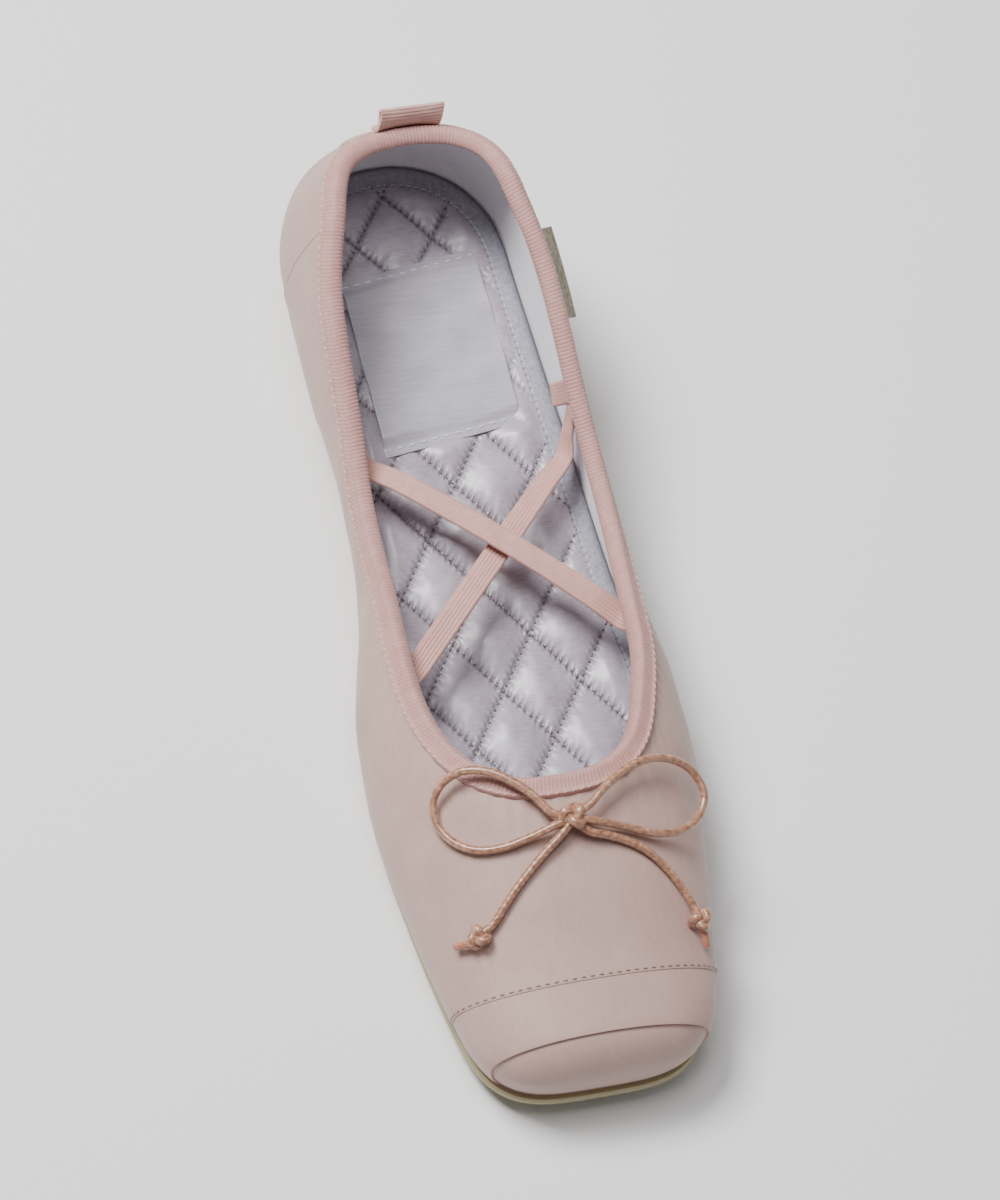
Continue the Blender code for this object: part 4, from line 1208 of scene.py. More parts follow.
def seam_line(seam, back, lift, count=400):
    """A line over the upper in a seam's plane, moved towards the heel, and its directions."""
    normal = np.array(Vector(seam["normal"]).normalized())
    at = np.array(seam["at"]) + (0.0, back, 0.0)
    turn = np.linspace(0.0, math.pi, count)
    near, far = np.zeros(count), np.full(count, LENGTH)
    for _ in range(40):
        middle = (near + far) / 2.0
        heelward = (last_point(middle, turn) - at) @ normal > 0
        near, far = np.where(heelward, middle, near), np.where(heelward, far, middle)
    facing = surface_normal(near, turn)
    points = last_point(near, turn) + facing * lift
    legs, sideways = [], []
    for end, side in ((0, -1.0), (-1, 1.0)):
        share = np.linspace(0.0, LEG_END, LEG_STEPS)[1:]
        height = belly_height(near[end]) - last("belly", near[end]) * share
        y = at[1] - (height - at[2]) * normal[2] / normal[1]
        width = half_width(side, HEEL_BACK_Y - y) - last("tuck", HEEL_BACK_Y - y) * share**2 + lift
        legs.append(np.stack([side * width, y, height], axis=-1))
        sideways.append(np.tile([side, 0.0, 0.0], (len(share), 1)))
    return (
        np.concatenate([legs[0][::-1], points, legs[1]]),
        np.concatenate([sideways[0], facing, sideways[1]]),
    )


toe_line, toe_facing = seam_line(TOE_SEAM, 0.7, 0.26)
sew(
    "toe_seam_stitches", [toe_line], seam_thread, pitch=2.1, length=1.25, thickness=0.42,
    outward=[toe_facing],
)
counter_line, counter_facing = seam_line(COUNTER_SEAM, -0.45, 0.2)
counter_rim = last("rim", HEEL_BACK_Y - counter_line[:, 1])
below_rim = counter_line[:, 2] < counter_rim - CLEAR_OF_BINDING
counter_sides = [below_rim & (counter_line[:, 0] * side > 0) for side in (-1, 1)]
sew(
    "counter_seam_stitches", [counter_line[part] for part in counter_sides], seam_thread,
    pitch=1.6, length=1.3, thickness=0.26,
    outward=[counter_facing[part] for part in counter_sides],
)

# %% [markdown]
# ## The lining
# Inside the satin lies a soft pale lining. From the collar it drops to the insole and tucks under
# its edge. A closed ring with two faces is enough: the wall's own normals give both.

# %% The lining
LINING_OUT, LINING_IN, LINING_SLACK, SLACK_WAVES = 1.15, 2.0, 0.12, (5.0, 4.0)
lined = ShoeGrid(120, (0.0, 2.5, 5.0), 22, (0.85, 0.65, 0.45, 0.25, 0.12, 0.02))
slack = np.prod(np.sin(lined.points[..., 1:] / SLACK_WAVES), axis=-1, keepdims=True)
lining_faces = [
    lined.points - lined.normals * inset for inset in (LINING_IN + LINING_SLACK * slack, LINING_OUT)
]
for face in lining_faces:
    face[:, -1, 2] = lined.points[:, -1, 2]
lining = grid_piece(
    "lining", np.concatenate([lining_faces[0], lining_faces[1][:, ::-1]], axis=1),
    lining_cloth, 50.0, ring=True, tube=True,
)
place(lining)

# %% [markdown]
# ## The topline binding
# An elastic channel is folded over the rim and pulls it in, so its face is a run of fine crosswise
# ribs. Hundreds of ribs could be drawn one by one, but they all follow one path: a smooth U-shaped
# section is swept round the topline, each vertex stores how far along it lies, and the rib tree
# turns that distance into relief. The ribs die out in a plain bead along the outer hem.

# %% The binding's smooth body
BINDING_THICKNESS, BINDING_COLUMNS = 0.9, 2000
RIB_COUNT, RIB_HEIGHT, RIB_WAVER = 450, 0.07, 0.5
HEM_FROM, HEM_BEAD, HEM_BEAD_PACE, HEM_TUCK, HEM_RIBS = 2.9, 0.42, 1.25, 0.6, 0.55
OUTER_SINK, INNER_HEM_RIBS = 0.15, 0.3
SCALLOP_DEPTH, SCALLOP_ROWS = 0.42, 3.2
CREST_STEPS = 9
LEAF_DEPTHS = (0.0, 0.8, 1.6, 2.3, 2.8, 3.1, 3.4, 3.7, 3.95, 4.2)

rim_stations = evenly(topline_length, topline_samples, BINDING_COLUMNS // 2)
rim_leaf = around(*(
    np.stack([last_point(*row) for row in leaf_rows(side, rim_stations, LEAF_DEPTHS)], axis=1)
    for side in (-1, 1)
))
rim_out = grid_normals(rim_leaf)
rim_rise = unit(rim_leaf[:, 0] - rim_leaf[:, 1])
rim_length = polyline_length(closed(rim_leaf[:, 0]))
print("topline length, mm:", round(float(rim_length[-1]), 1))


def binding_section():
    """The channel's closed section at every column, and how much each row is ribbed."""
    reach = GAP + BINDING_THICKNESS
    bottom = len(LEAF_DEPTHS) - 1
    rows, mask = [], []

    def add(index, out, ribbed, rise=0.0):
        rows.append(rim_leaf[:, index] + rim_out[:, index] * out + rim_rise * rise)
        mask.append(ribbed)

    for index in range(bottom, 0, -1):
        hem = max(0.0, (LEAF_DEPTHS[index] - HEM_FROM) / (LEAF_DEPTHS[-1] - HEM_FROM))
        bead = HEM_BEAD * math.sin(math.pi * min(hem * HEM_BEAD_PACE, 1.0))
        out = reach - OUTER_SINK + bead - HEM_TUCK * hem**4
        add(index, out, 1.0 if hem == 0.0 else max(0.0, HEM_RIBS - hem))
    for angle in np.linspace(0.0, math.pi, CREST_STEPS):
        across = (WALL / 2.0 + reach) * math.cos(angle) - WALL / 2.0
        add(0, across, 1.0, reach * math.sin(angle))
    for index in range(1, bottom + 1):
        add(index, -WALL - reach, 1.0 if index < bottom - 1 else INNER_HEM_RIBS)
    for index in (bottom, 3, 0):
        add(index, -WALL - GAP * 0.5, 0.0)
    for index in (0, 3, bottom):
        add(index, GAP, 0.0)
    return np.stack(rows, axis=1), np.array(mask)


binding_points, rib_mask = binding_section()
binding = grid_piece(
    "topline_binding_elastic", binding_points, binding_elastic, ring=True, tube=True
)
scallop = SCALLOP_DEPTH * np.abs(np.sin(np.arange(binding_points.shape[1]) / SCALLOP_ROWS))
rib_place = rim_length[:-1, None] + scallop[None, :]
lay_values(binding, "rib_place", rib_place * MM)
lay_values(binding, "rib_mask", np.broadcast_to(rib_mask, rib_place.shape))
run_tree(
    binding, rib_tree, pitch=float(rim_length[-1]) / RIB_COUNT * MM, height=RIB_HEIGHT * MM,
    waver=RIB_WAVER * MM, seed=3.0, material=binding_elastic,
)
place(binding, ("topline_binding",))

# %% Stitches along the binding
HEM_ROW, HEM_STITCH_LIFT = 6, 1.38
hem_line, hem_normal = closed(rim_leaf[:, HEM_ROW]), closed(rim_out[:, HEM_ROW])
sew(
    "binding_stitches", [hem_line + hem_normal * HEM_STITCH_LIFT], pink_thread,
    pitch=2.0, length=1.25, thickness=0.25, outward=[hem_normal],
    slant=34.0,
)

# %% [markdown]
# ## The quilted sock
# The foot rests on padded satin sewn in diamonds. The padding is a closed form: flat beneath,
# rounded at its edge and crowned on top. The diamonds follow a rule, so Geometry Nodes shape them:
# from each point's place the tree finds the two nearest stitch lines, rounds the cell between them
# like a small pillow, and adds short puckers that run square to the thread and fade into the cell.

# %% The padding's smooth body
SOCK_SIDE, SOCK_EDGE_ROUND, SOCK_BASE = WALL + 0.4, 1.4, 0.3
SOCK_CROWN, CROWN_PACE, CROWN_ROUND = 0.9, 6.0, 0.6
SOCK_COLUMNS, SOCK_ROWS = 440, 62
SPINE_FROM, SPINE_TO = 30.0, 216.0
LABEL_CORNERS = ((19.1, 3.9), (20.0, -45.5), (-15.0, -50.0), (-16.0, -1.0))


def feather_at(y):
    """The feather line's height at a place along the shoe."""
    return last("feather", HEEL_BACK_Y - y)


def sock_top(y):
    """The height of the sock's face, before quilting, at a place along the shoe."""
    return feather_at(y) + last("sock", HEEL_BACK_Y - y)


def toward_spine(loop, stations, shares, height_at):
    """Loops that close in from an edge to the middle line."""
    inner = np.clip(stations, SPINE_FROM, SPINE_TO)
    x = (half_width(1, inner) - half_width(-1, inner)) / 2.0
    to_middle = np.stack([x, HEEL_BACK_Y - inner], axis=-1) - loop[:, :2]
    plans = [(loop[:, :2] + to_middle * share, share) for share in shares]
    return [np.column_stack([plan, height_at(plan[:, 1], share)]) for plan, share in plans]


def sock_loops():
    """Closed loops from the middle of the top, over the edge, to the middle of the underside."""
    grid = ShoeGrid(SOCK_COLUMNS)
    thickness = last("sock", grid.stations)
    shares = np.linspace(0.0, 1.0, SOCK_ROWS)[::-1]

    def crowned(y, share):
        return sock_top(y) + SOCK_CROWN * np.clip(share * CROWN_PACE, 0.0, 1.0) ** CROWN_ROUND

    shoulder = grid.loop(thickness, SOCK_SIDE + SOCK_EDGE_ROUND)
    loops = toward_spine(shoulder, grid.stations, shares, crowned)
    for angle in np.radians((30.0, 60.0, 90.0)):
        inset = SOCK_SIDE + SOCK_EDGE_ROUND * (1.0 - math.sin(angle))
        loops.append(grid.loop(thickness - SOCK_EDGE_ROUND * (1.0 - math.cos(angle)), inset))
    low = grid.loop(SOCK_BASE, SOCK_SIDE)
    loops += toward_spine(
        low, grid.stations, (0.0, 0.5, 1.0), lambda y, _: feather_at(y) + SOCK_BASE
    )
    return np.stack(loops, axis=1), shares


def inside_label(x, y, margin):
    """1 inside the label, 0 outside, with a soft edge."""
    inside = np.full(np.shape(x), 1e9)
    for a, b in zip(np.array(LABEL_CORNERS), np.roll(LABEL_CORNERS, -1, axis=0)):
        edge = unit(b - a)
        inside = np.minimum(inside, (x - a[0]) * edge[1] - (y - a[1]) * edge[0])
    return np.clip(0.5 + inside / margin, 0.0, 1.0)


sock_points, sock_shares = sock_loops()
print("sock grid:", sock_points.shape)

# %% The tree for quilting
RUN_LENGTH, HUMP_ROUND, PUCKER_WANDER = 0.0165, 0.6, 6.0
FINE_SCALE, SLOW_SCALE = 120.0, 42.0
UNEVEN_FINE, UNEVEN_SLOW = 0.0007, 0.0026


def make_quilt_tree():
    """Diamond quilting: rounded cells between crossing lines, with puckers beside the thread."""
    inputs = ("Geometry", *QUILT_SIZES, "Puff", "Valley", "Pucker", "Pucker Pitch", "Seed")
    tree, source, sink = new_tree("diamond_quilting", (*inputs, "Material"))
    spot = node(tree, "GeometryNodeInputPosition")
    fine, slow = (
        node(
            tree, "ShaderNodeTexNoise", {"Vector": spot, "Scale": scale, "W": source["Seed"]},
            noise_dimensions="4D",
        )
        for scale in (FINE_SCALE, SLOW_SCALE)
    )
    across, along = cell_place(node(tree, "ShaderNodeSeparateXYZ", {0: spot}), source)
    lines = (across + along, across - along)
    humps = [(line * math.pi).then("SINE").then("ABSOLUTE") for line in lines]
    hump = (humps[0] * humps[1]) ** HUMP_ROUND
    rise = hump.then("MULTIPLY_ADD", source["Puff"], source["Valley"] * -1.0)

    def puckers(hump_value, other_line):
        run = other_line * RUN_LENGTH / source["Pucker Pitch"] * math.tau
        beside = (1.0 - hump_value) ** 2.0 * hump_value**0.5
        return (run + fine * PUCKER_WANDER).then("SINE") * beside * source["Pucker"]

    gathered = puckers(humps[0], lines[1]) + puckers(humps[1], lines[0])
    uneven = (fine - 0.5) * UNEVEN_FINE + (slow - 0.5) * UNEVEN_SLOW
    lift = (rise + gathered + uneven * hump) * named(tree, "quilt_mask")
    offset = node(tree, "ShaderNodeCombineXYZ", {2: lift})
    moved = node(tree, "GeometryNodeSetPosition", {"Geometry": source, "Offset": offset})
    close_tree(moved, source, sink)
    return tree


quilt_tree = make_quilt_tree()
print("quilting tree nodes:", len(quilt_tree.nodes))

# %% Quilting the sock
QUILT_PUFF, QUILT_VALLEY, QUILT_PUCKER, QUILT_PUCKER_PITCH = 2.7, 0.85, 0.35, 3.8
QUILT_EDGE, QUILT_EDGE_PACE, QUILT_EDGE_ROUND, LABEL_FADE = 0.09, 7.0, 0.8, 5.0
sock = grid_piece("quilted_sock", sock_points, sock_satin, ring=True)
quilt_mask = np.zeros(sock_points.shape[:2])
from_edge = np.clip((sock_shares - QUILT_EDGE) * QUILT_EDGE_PACE, 0.0, 1.0)
quilt_mask[:, : len(sock_shares)] = from_edge**QUILT_EDGE_ROUND
quilt_mask *= 1.0 - inside_label(sock_points[..., 0], sock_points[..., 1], LABEL_FADE)
lay_values(sock, "quilt_mask", quilt_mask)
run_tree(
    sock, quilt_tree, puff=QUILT_PUFF * MM, valley=QUILT_VALLEY * MM,
    pucker=QUILT_PUCKER * MM, pucker_pitch=QUILT_PUCKER_PITCH * MM, seed=5.0, material=sock_satin,
    **{label.replace(" ", "_").lower(): size * MM for label, size in QUILT_SIZES.items()},
)
set_right(sock.data, weld=True)
place(sock, ("insole",))

# %% Thread along the quilting
LINE_STEPS, SHORTEST_LINE, THREAD_LIFT, THREAD_INSET = 1400, 30, 0.12, 3.2
SMOOTHING = 6
SOCK_THICKNESS = last("sock", outline.stations)
SOCK_OUTLINE = outline.loop(SOCK_THICKNESS, SOCK_SIDE + THREAD_INSET)


def inside_outline(points, loop):
    """Which plan points lie inside a closed loop."""
    x, y = points[:, 0][:, None], points[:, 1][:, None]
    ax, ay = loop[:, 0][None], loop[:, 1][None]
    bx, by = np.roll(ax, -1), np.roll(ay, -1)
    crosses = (ay > y) != (by > y)
    reach = ax + (y - ay) * (bx - ax) / np.where(by == ay, 1e-9, by - ay)
    return np.sum(crosses & (x < reach), axis=1) % 2 == 1


def quilt_lines():
    """Every quilting line over the sock, laid on it and cut where the label or tape covers it."""
    paths = []
    skin = BVHTree.FromPolygons(
        [v.co for v in sock.data.vertices], [p.vertices for p in sock.data.polygons]
    )
    run = np.linspace(-14.0, 14.0, LINE_STEPS)
    for family in (1.0, -1.0):
        for number in range(-12, 13):
            x = QUILT_ORIGIN[0] + (number + run) / 2.0 * QUILT_WIDE
            y = QUILT_ORIGIN[1] + (number - run) / 2.0 * family * QUILT_LONG
            kept = inside_outline(np.stack([x, y], axis=-1), SOCK_OUTLINE)
            kept = kept & (inside_label(x, y, 1.0) < 0.3)
            breaks = np.nonzero(np.diff(kept.astype(int)))[0] + 1
            for part in np.split(np.arange(len(run)), breaks):
                if not kept[part[0]] or len(part) < SHORTEST_LINE:
                    continue
                hits = [
                    skin.ray_cast(Vector((x[i] * MM, y[i] * MM, 0.1)), Vector((0.0, 0.0, -1.0)))
                    for i in part
                ]
                height = np.pad([hit[0].z / MM for hit in hits], SMOOTHING, "edge")
                even = np.ones(2 * SMOOTHING + 1) / (2 * SMOOTHING + 1)
                height = np.convolve(height, even, "valid") + THREAD_LIFT
                paths.append(np.column_stack([x[part], y[part], height]))
    return paths


sew(
    "quilting_stitches", quilt_lines(), dark_thread,
    pitch=STITCH_PITCH, length=0.95, thickness=0.58,
)

# %% [markdown]
# ## Label patch and border tape
# A plain satin patch is sewn flat over the quilting at the heel. It carries nothing. Round the
# sock's edge runs a grey tape with a line of stitches, which climbs a little way up the wall.

# %% The label patch
LABEL_LIFT = SOCK_CROWN + 0.55


def label_point(across, down):
    """A place on the label, from 0 to 1 across and down its length."""
    tr, br, bl, tl = np.array(LABEL_CORNERS)
    top = tl + (tr - tl) * across[..., None]
    bottom = bl + (br - bl) * across[..., None]
    return top + (bottom - top) * down[..., None]


u, v = np.meshgrid(np.linspace(0.0, 1.0, 60), np.linspace(0.0, 1.0, 84), indexing="ij")
label_plan = label_point(u, v)
ripple = 0.5 * np.sin(u * 5.0 + v * 2.0) * np.sin(v * 9.0 + 0.6) + 0.2 * np.sin(v * 22.0 + u * 6.0)
held = np.clip((np.minimum(v, 1.0 - v) - 0.05) * 22.0, 0.0, 1.0)
label_height = sock_top(label_plan[..., 1]) + LABEL_LIFT + (ripple + 1.0) * held
label = grid_piece("sock_label", np.dstack([label_plan, label_height]), label_satin)
thicken(label, 0.35, bevel=0.08)
place(label)

label_rows = []
for down in (0.035, 0.965):
    plan = label_point(np.linspace(0.03, 0.97, 80), np.full(80, down))
    label_rows.append(np.column_stack([plan, sock_top(plan[:, 1]) + LABEL_LIFT + 0.1]))
sew(
    "label_stitches", label_rows, pale_thread,
    pitch=2.8, length=1.75, thickness=0.42,
)

# %% The border tape
# The tape's section, from the wall inward: height above the sock and distance from the wall.
TAPE_SECTION = (
    (3.4, 0.75), (2.7, 0.95), (1.8, 1.35), (1.05, 2.0), (0.75, 3.0), (0.65, 4.4), (0.25, 4.6),
)
TAPE_THICKNESS = 0.3
# Painted shade on the tape, row by row: -1 gives the full groove colour at its top edge against the
# wall, a painted shadow line between tape and lining, and 0.5 gives none.
TAPE_EDGE_SHADE = (-1.0, 0.1, *[0.5] * 10, 0.1, -1.0)


def along_border(rise, inset):
    """A loop round the sock, at a height above it and a distance from the wall."""
    return outline.loop(SOCK_THICKNESS + rise, WALL + inset)


tape_face = np.array(TAPE_SECTION)
tape_section = np.concatenate([tape_face, tape_face[::-1] - TAPE_THICKNESS])
tape_grid = np.stack([along_border(*spot) for spot in tape_section], axis=1)
tape = grid_piece("sock_border_tape", tape_grid, border_tape, 60.0, ring=True, tube=True)
# These values only paint shade: the tape's edge rows darken, and its middle rows stay plain.
lay_values(tape, "relief", np.tile(TAPE_EDGE_SHADE, len(tape_grid)))
place(tape)

# The second row is painted shade: short dark beads stand for the needle holes beside the grey
# thread, which are dark only from shade.
for tape_seam, rise, inset, thread, length, thickness in (
    ("border_stitches", 0.8, 3.75, grey_thread, 1.6, 0.32),
    ("border_needle_marks", 0.72, 4.25, dark_thread, 0.6, 0.3),
):
    sew(
        tape_seam, [closed(along_border(rise, inset))], thread,
        pitch=1.9, length=length, thickness=thickness,
    )

# %% [markdown]
# ## Crossed elastics
# Two narrow elastics cross over the foot's opening. Each is flat and ribbed lengthwise. Its medial
# end lies on the lining, its lateral end is tucked into the binding, and it is free between them. A
# flat section swept along the route keeps the width true, and the rib tree serves again: this time
# the distance it reads runs across the elastic. The lower one's cut end shows as a short flap.

# %% Routes of the elastics
STRAP_WIDTH, STRAP_THICKNESS, STRAP_LAY = 6.0, 1.2, 0.9
STRAP_RIBS, STRAP_RIB_HEIGHT, FLAP_RIB_SHARE = 7, 0.08, 0.3
# For each end, from the tail to the root: station, depth below the topline, stand-off from the
# lining, and how far the face is tilted upward. Below zero, the elastic is inside the binding.
OVER_ENDS = (
    ((84.9, 14.0, 1.2, 0.9), (88.2, 11.1, 1.6, 1.6), (91.4, 8.2, 1.9, 2.6)),
    ((140.6, 2.2, -0.75, 0.0), (138.9, 5.6, 0.5, 0.6), (136.6, 8.5, 1.9, 2.2)),
)
UNDER_ENDS = (
    ((154.8, 14.0, 1.2, 0.9), (151.8, 11.3, 1.6, 1.6), (148.8, 8.5, 1.9, 2.6)),
    ((86.2, 2.2, -0.75, 0.0), (88.0, 4.6, 0.2, 0.1), (90.6, 6.4, 1.5, 0.2), (94.6, 8.2, 3.2, 0.7)),
)
FLAP = (
    (82.4, 2.2, -0.75, 0.0), (82.4, 4.8, 0.1, 0.0), (82.4, 7.2, 1.2, 0.1), (82.4, 9.2, 2.4, 0.2),
)
OVER_RISE, UNDER_RISE = 3.0, -0.4
# Along the free middle: how far along, and how much it still faces as its nearer end does.
STRAP_MIDDLE = ((0.12, 0.9), (0.32, 0.0), (0.5, 0.0), (0.68, 0.0), (0.88, 0.9))


def strap_end(side, rows):
    """An elastic's centre line along the wall, and the directions that its upper face looks in."""
    flat = -(WALL + STRAP_LAY + STRAP_THICKNESS / 2.0)
    points, facing = [], []
    for station, depth, stand_off, tilt in rows:
        spot, normal = wall_point(side, [station], np.array([depth]), flat - stand_off)
        points.append(spot[0])
        facing.append(unit(-normal[0] + UP * tilt))
    return np.array(points), np.array(facing)


def strap_route(medial, lateral, rise):
    """The centre line of a whole elastic, and the directions that its upper face looks in."""
    points, facing = strap_end(-1, medial)
    end_points, end_facing = strap_end(1, lateral[::-1])
    middle, middle_facing = [], []
    for share, still in STRAP_MIDDLE:
        between = points[-1] + (end_points[0] - points[-1]) * share
        middle.append(between + UP * rise * 4.0 * share * (1.0 - share))
        middle_facing.append(UP + (facing[-1] if share < 0.5 else end_facing[0]) * still)
    looks = np.array([*facing, *middle_facing, *end_facing])
    return np.array([*points, *middle, *end_points]), looks


over_route = strap_route(*OVER_ENDS, OVER_RISE)
under_route = strap_route(*UNDER_ENDS, UNDER_RISE)
for elastic, (route, _) in (("upper", over_route), ("lower", under_route)):
    print(elastic, "elastic, mm:", round(float(polyline_length(route)[-1]), 1))

# %% Sweeping the elastics
STRAP_STEPS, FLAP_STEPS = 150, 30


def swept_frame(route, looks, count):
    """Even points along a route, with unit width and thickness directions."""
    points = smooth_route(route, count)
    reach = polyline_length(route)
    facing = read_along(looks, reach, np.linspace(0.0, reach[-1], count))
    ahead = np.gradient(points, axis=0)
    width = unit(np.cross(facing, ahead))
    return points, width, unit(np.cross(ahead, width))


def rounded_flat(width, thickness, steps):
    """A flat section with rounded edges: across and up for each point, and its ribbed share."""
    half = thickness / 2.0
    flat = np.linspace(half - width / 2.0, width / 2.0 - half, steps)
    bend = np.linspace(math.pi / 2, -math.pi / 2, 7)[1:-1]
    right = np.stack([flat[-1] + np.cos(bend) * half, np.sin(bend) * half], axis=-1)
    top = np.stack([flat, np.full(steps, half)], axis=-1)
    return (
        np.concatenate([top, right, -top, -right]),
        np.concatenate([np.ones(steps), np.full(5, 0.25)] * 2),
    )


def make_strap(name, sweeps):
    """An elastic from swept sections, each with its share of the ribs that the tree adds."""
    section, face = rounded_flat(STRAP_WIDTH, STRAP_THICKNESS, 41)
    rows = len(section)
    points, faces, masks = [], [], []
    for share, (spine, width, thick) in sweeps:
        start, end = len(points) * rows, (len(spine) - 1) * rows
        points.extend(
            spine[:, None] + width[:, None] * section[None, :, :1]
            + thick[:, None] * section[None, :, 1:]
        )
        sides = grid_faces(len(spine), rows, tube=True)
        sides += [list(range(rows)), list(range(end, end + rows))[::-1]]
        faces.extend([start + corner for corner in side] for side in sides)
        masks.append(np.tile(face * share, len(spine)))
    strap = new_piece(name + "_elastic", points, faces, strap_elastic)
    lay_values(strap, "rib_place", np.tile(section[:, 0] * MM, len(points)))
    lay_values(strap, "rib_mask", np.concatenate(masks))
    run_tree(
        strap, rib_tree, pitch=STRAP_WIDTH / STRAP_RIBS * MM, height=STRAP_RIB_HEIGHT * MM,
        waver=0.06 * MM, seed=1.0, material=strap_elastic,
    )
    place(strap, (name,))


over = swept_frame(*over_route, STRAP_STEPS)
under = swept_frame(*under_route, STRAP_STEPS)
flap = swept_frame(*strap_end(1, FLAP), FLAP_STEPS)
make_strap("cross_strap_over", [(1.0, over)])
make_strap("cross_strap_under", [(1.0, under), (FLAP_RIB_SHARE, flap)])

# %% [markdown]
# ## Pull tab and side tab
# The pull tab is a ribbed tape folded over above the collar, with both ends sewn down behind the
# heel. Its path is the same for every thread across the tape, so it is a swept strip again, ribbed
# across its width. The side tab is a small woven tape, and is left bare.

# %% The pull tab
PULL_TAB_WIDTH, PULL_TAB_THICKNESS, PULL_TAB_RISE = 15.5, 0.7, 7.7
PULL_TAB_DEPTH, PULL_TAB_OPENING, PULL_TAB_CLEARANCE = 5.5, 1.6, 0.2
PULL_TAB_LEAN, PULL_TAB_FOLD, PULL_TAB_PEAK = 0.14, 2.0, 1.6
TAB_COLUMNS, TAB_ROWS = 25, 150


def topline_station_at(side, x):
    """The station near the heel at which the topline is x wide of the middle."""
    low, high = 0.0, 20.0
    for _ in range(40):
        middle = (low + high) / 2.0
        inside = abs(last_point(middle, topline_turn(side, middle))[0]) < x
        low, high = (middle, high) if inside else (low, middle)
    return low


def pull_tab_line(x):
    """The tape's path at one place across its width: up behind the collar, over, and down."""
    first = GAP + BINDING_THICKNESS + PULL_TAB_CLEARANCE + PULL_TAB_THICKNESS / 2.0
    side = -1 if x < 0 else 1
    station = [topline_station_at(side, abs(x))]
    rim = float(last_point(0.0, topline_turn(1, 0.0))[2])
    middle_y = wall_point(1, [0.0], 0.0, first)[0][0][1]
    legs = [
        [wall_point(side, station, depth, out)[0][0] for depth in (PULL_TAB_DEPTH, 0.0)]
        for out in (first, first + PULL_TAB_THICKNESS + GAP)
    ]
    top_in = np.array([x, middle_y, rim + PULL_TAB_RISE - PULL_TAB_FOLD])
    top_out = top_in + (0.0, PULL_TAB_THICKNESS + PULL_TAB_OPENING, 0.0)
    peak = (top_in + top_out) / 2.0 + UP * PULL_TAB_PEAK
    line = np.array([*legs[0], top_in, peak, top_out, *legs[1][::-1]])
    line[:, 0] = x + np.maximum(line[:, 2] - rim, 0.0) * PULL_TAB_LEAN
    return smooth_route(line, TAB_ROWS)


tab_grid = np.array([
    pull_tab_line(x) for x in np.linspace(-0.5, 0.5, TAB_COLUMNS) * PULL_TAB_WIDTH
])
tab_reach = np.linspace(0.0, polyline_length(tab_grid[TAB_COLUMNS // 2])[-1], TAB_ROWS)
pull_tab = grid_piece("pull_tab_tape", tab_grid, pull_tape)
lay_values(pull_tab, "rib_place", np.tile(tab_reach * MM, TAB_COLUMNS))
lay_values(pull_tab, "rib_mask", np.ones(TAB_COLUMNS * TAB_ROWS))
run_tree(
    pull_tab, rib_tree, pitch=1.0 * MM, height=0.055 * MM, waver=0.0, seed=1.0, material=pull_tape
)
thicken(pull_tab, PULL_TAB_THICKNESS, bevel=0.1)
place(pull_tab, ("heel_pull_tab",))

# %% The side tab
# It hangs from the binding's seam and stands off the wall towards its free edge.
side_tab_at = np.linspace(45.0, 67.0, 45)
SIDE_TAB_TOP, SIDE_TAB_HANG, SIDE_TAB_OUT, SIDE_TAB_FLARE = 4.7, 6.3, 0.65, 2.9
side_grid = np.stack([
    wall_point(
        1, side_tab_at, SIDE_TAB_TOP + SIDE_TAB_HANG * share,
        SIDE_TAB_OUT + SIDE_TAB_FLARE * share**1.3,
    )[0]
    for share in np.linspace(0.0, 1.0, 16)
], axis=1)
side_tab = grid_piece("side_tab_tape", side_grid, olive_tape)
thicken(side_tab, 0.9, bevel=0.2, inward=False)
place(side_tab, ("side_tab",))

# %% [markdown]
# ## The bow
# One round satin cord is tied in a bow: two loops, two tails, a small knot in the middle and one
# at each tail's end. A cord keeps its thickness and a fine braid wherever it goes, so a tree sweeps
# a circle along each route and presses the braid into it. Knots are the same cord, wound tightly.

# %% Cord routes
CORD_DIAMETER = 1.95
KNOT_CENTRE = (0.6, -162.5, 45.6)
CORD_ROUTES = {
    "bow_loop_medial": (
        (-0.6, -162.2, 45.9), (-3.8, -161.3, 46.1), (-7.3, -156.9, 47.2), (-11.5, -152.7, 47.8),
        (-17.0, -148.7, 47.3), (-22.5, -147.1, 45.8), (-27.0, -148.1, 42.8), (-29.3, -150.9, 39.2),
        (-29.3, -154.9, 37.3), (-27.0, -159.8, 37.1), (-21.9, -164.1, 38.6), (-16.4, -165.3, 40.4),
        (-10.5, -164.9, 42.4), (-3.7, -163.7, 44.9), (-0.8, -163.0, 45.3),
    ),
    "bow_loop_lateral": (
        (1.8, -161.9, 45.9), (5.5, -160.2, 46.3), (8.4, -157.8, 46.8), (12.1, -155.2, 47.1),
        (17.5, -152.4, 46.8), (23.3, -151.0, 45.4), (29.0, -151.5, 42.6), (33.4, -153.9, 39.0),
        (35.0, -158.2, 36.4), (32.9, -162.7, 35.6), (28.3, -166.2, 36.8), (20.7, -167.3, 39.3),
        (12.8, -165.5, 42.1), (5.6, -164.0, 44.7), (2.0, -163.0, 45.3),
    ),
    "bow_tail_medial": (
        (0.3, -163.3, 45.3), (-2.0, -165.3, 44.0), (-6.9, -168.6, 41.6), (-10.9, -171.6, 39.7),
        (-15.0, -175.0, 37.7), (-18.3, -178.2, 35.8), (-21.5, -181.2, 33.9), (-24.4, -183.0, 32.5),
    ),
    "bow_tail_lateral": (
        (1.2, -163.6, 45.0), (3.8, -165.8, 43.6), (9.4, -167.2, 41.6), (14.7, -169.1, 39.5),
        (19.2, -172.0, 37.3), (22.7, -175.7, 34.7), (25.5, -179.8, 32.3), (27.1, -183.3, 30.7),
        (28.2, -186.4, 29.5),
    ),
}
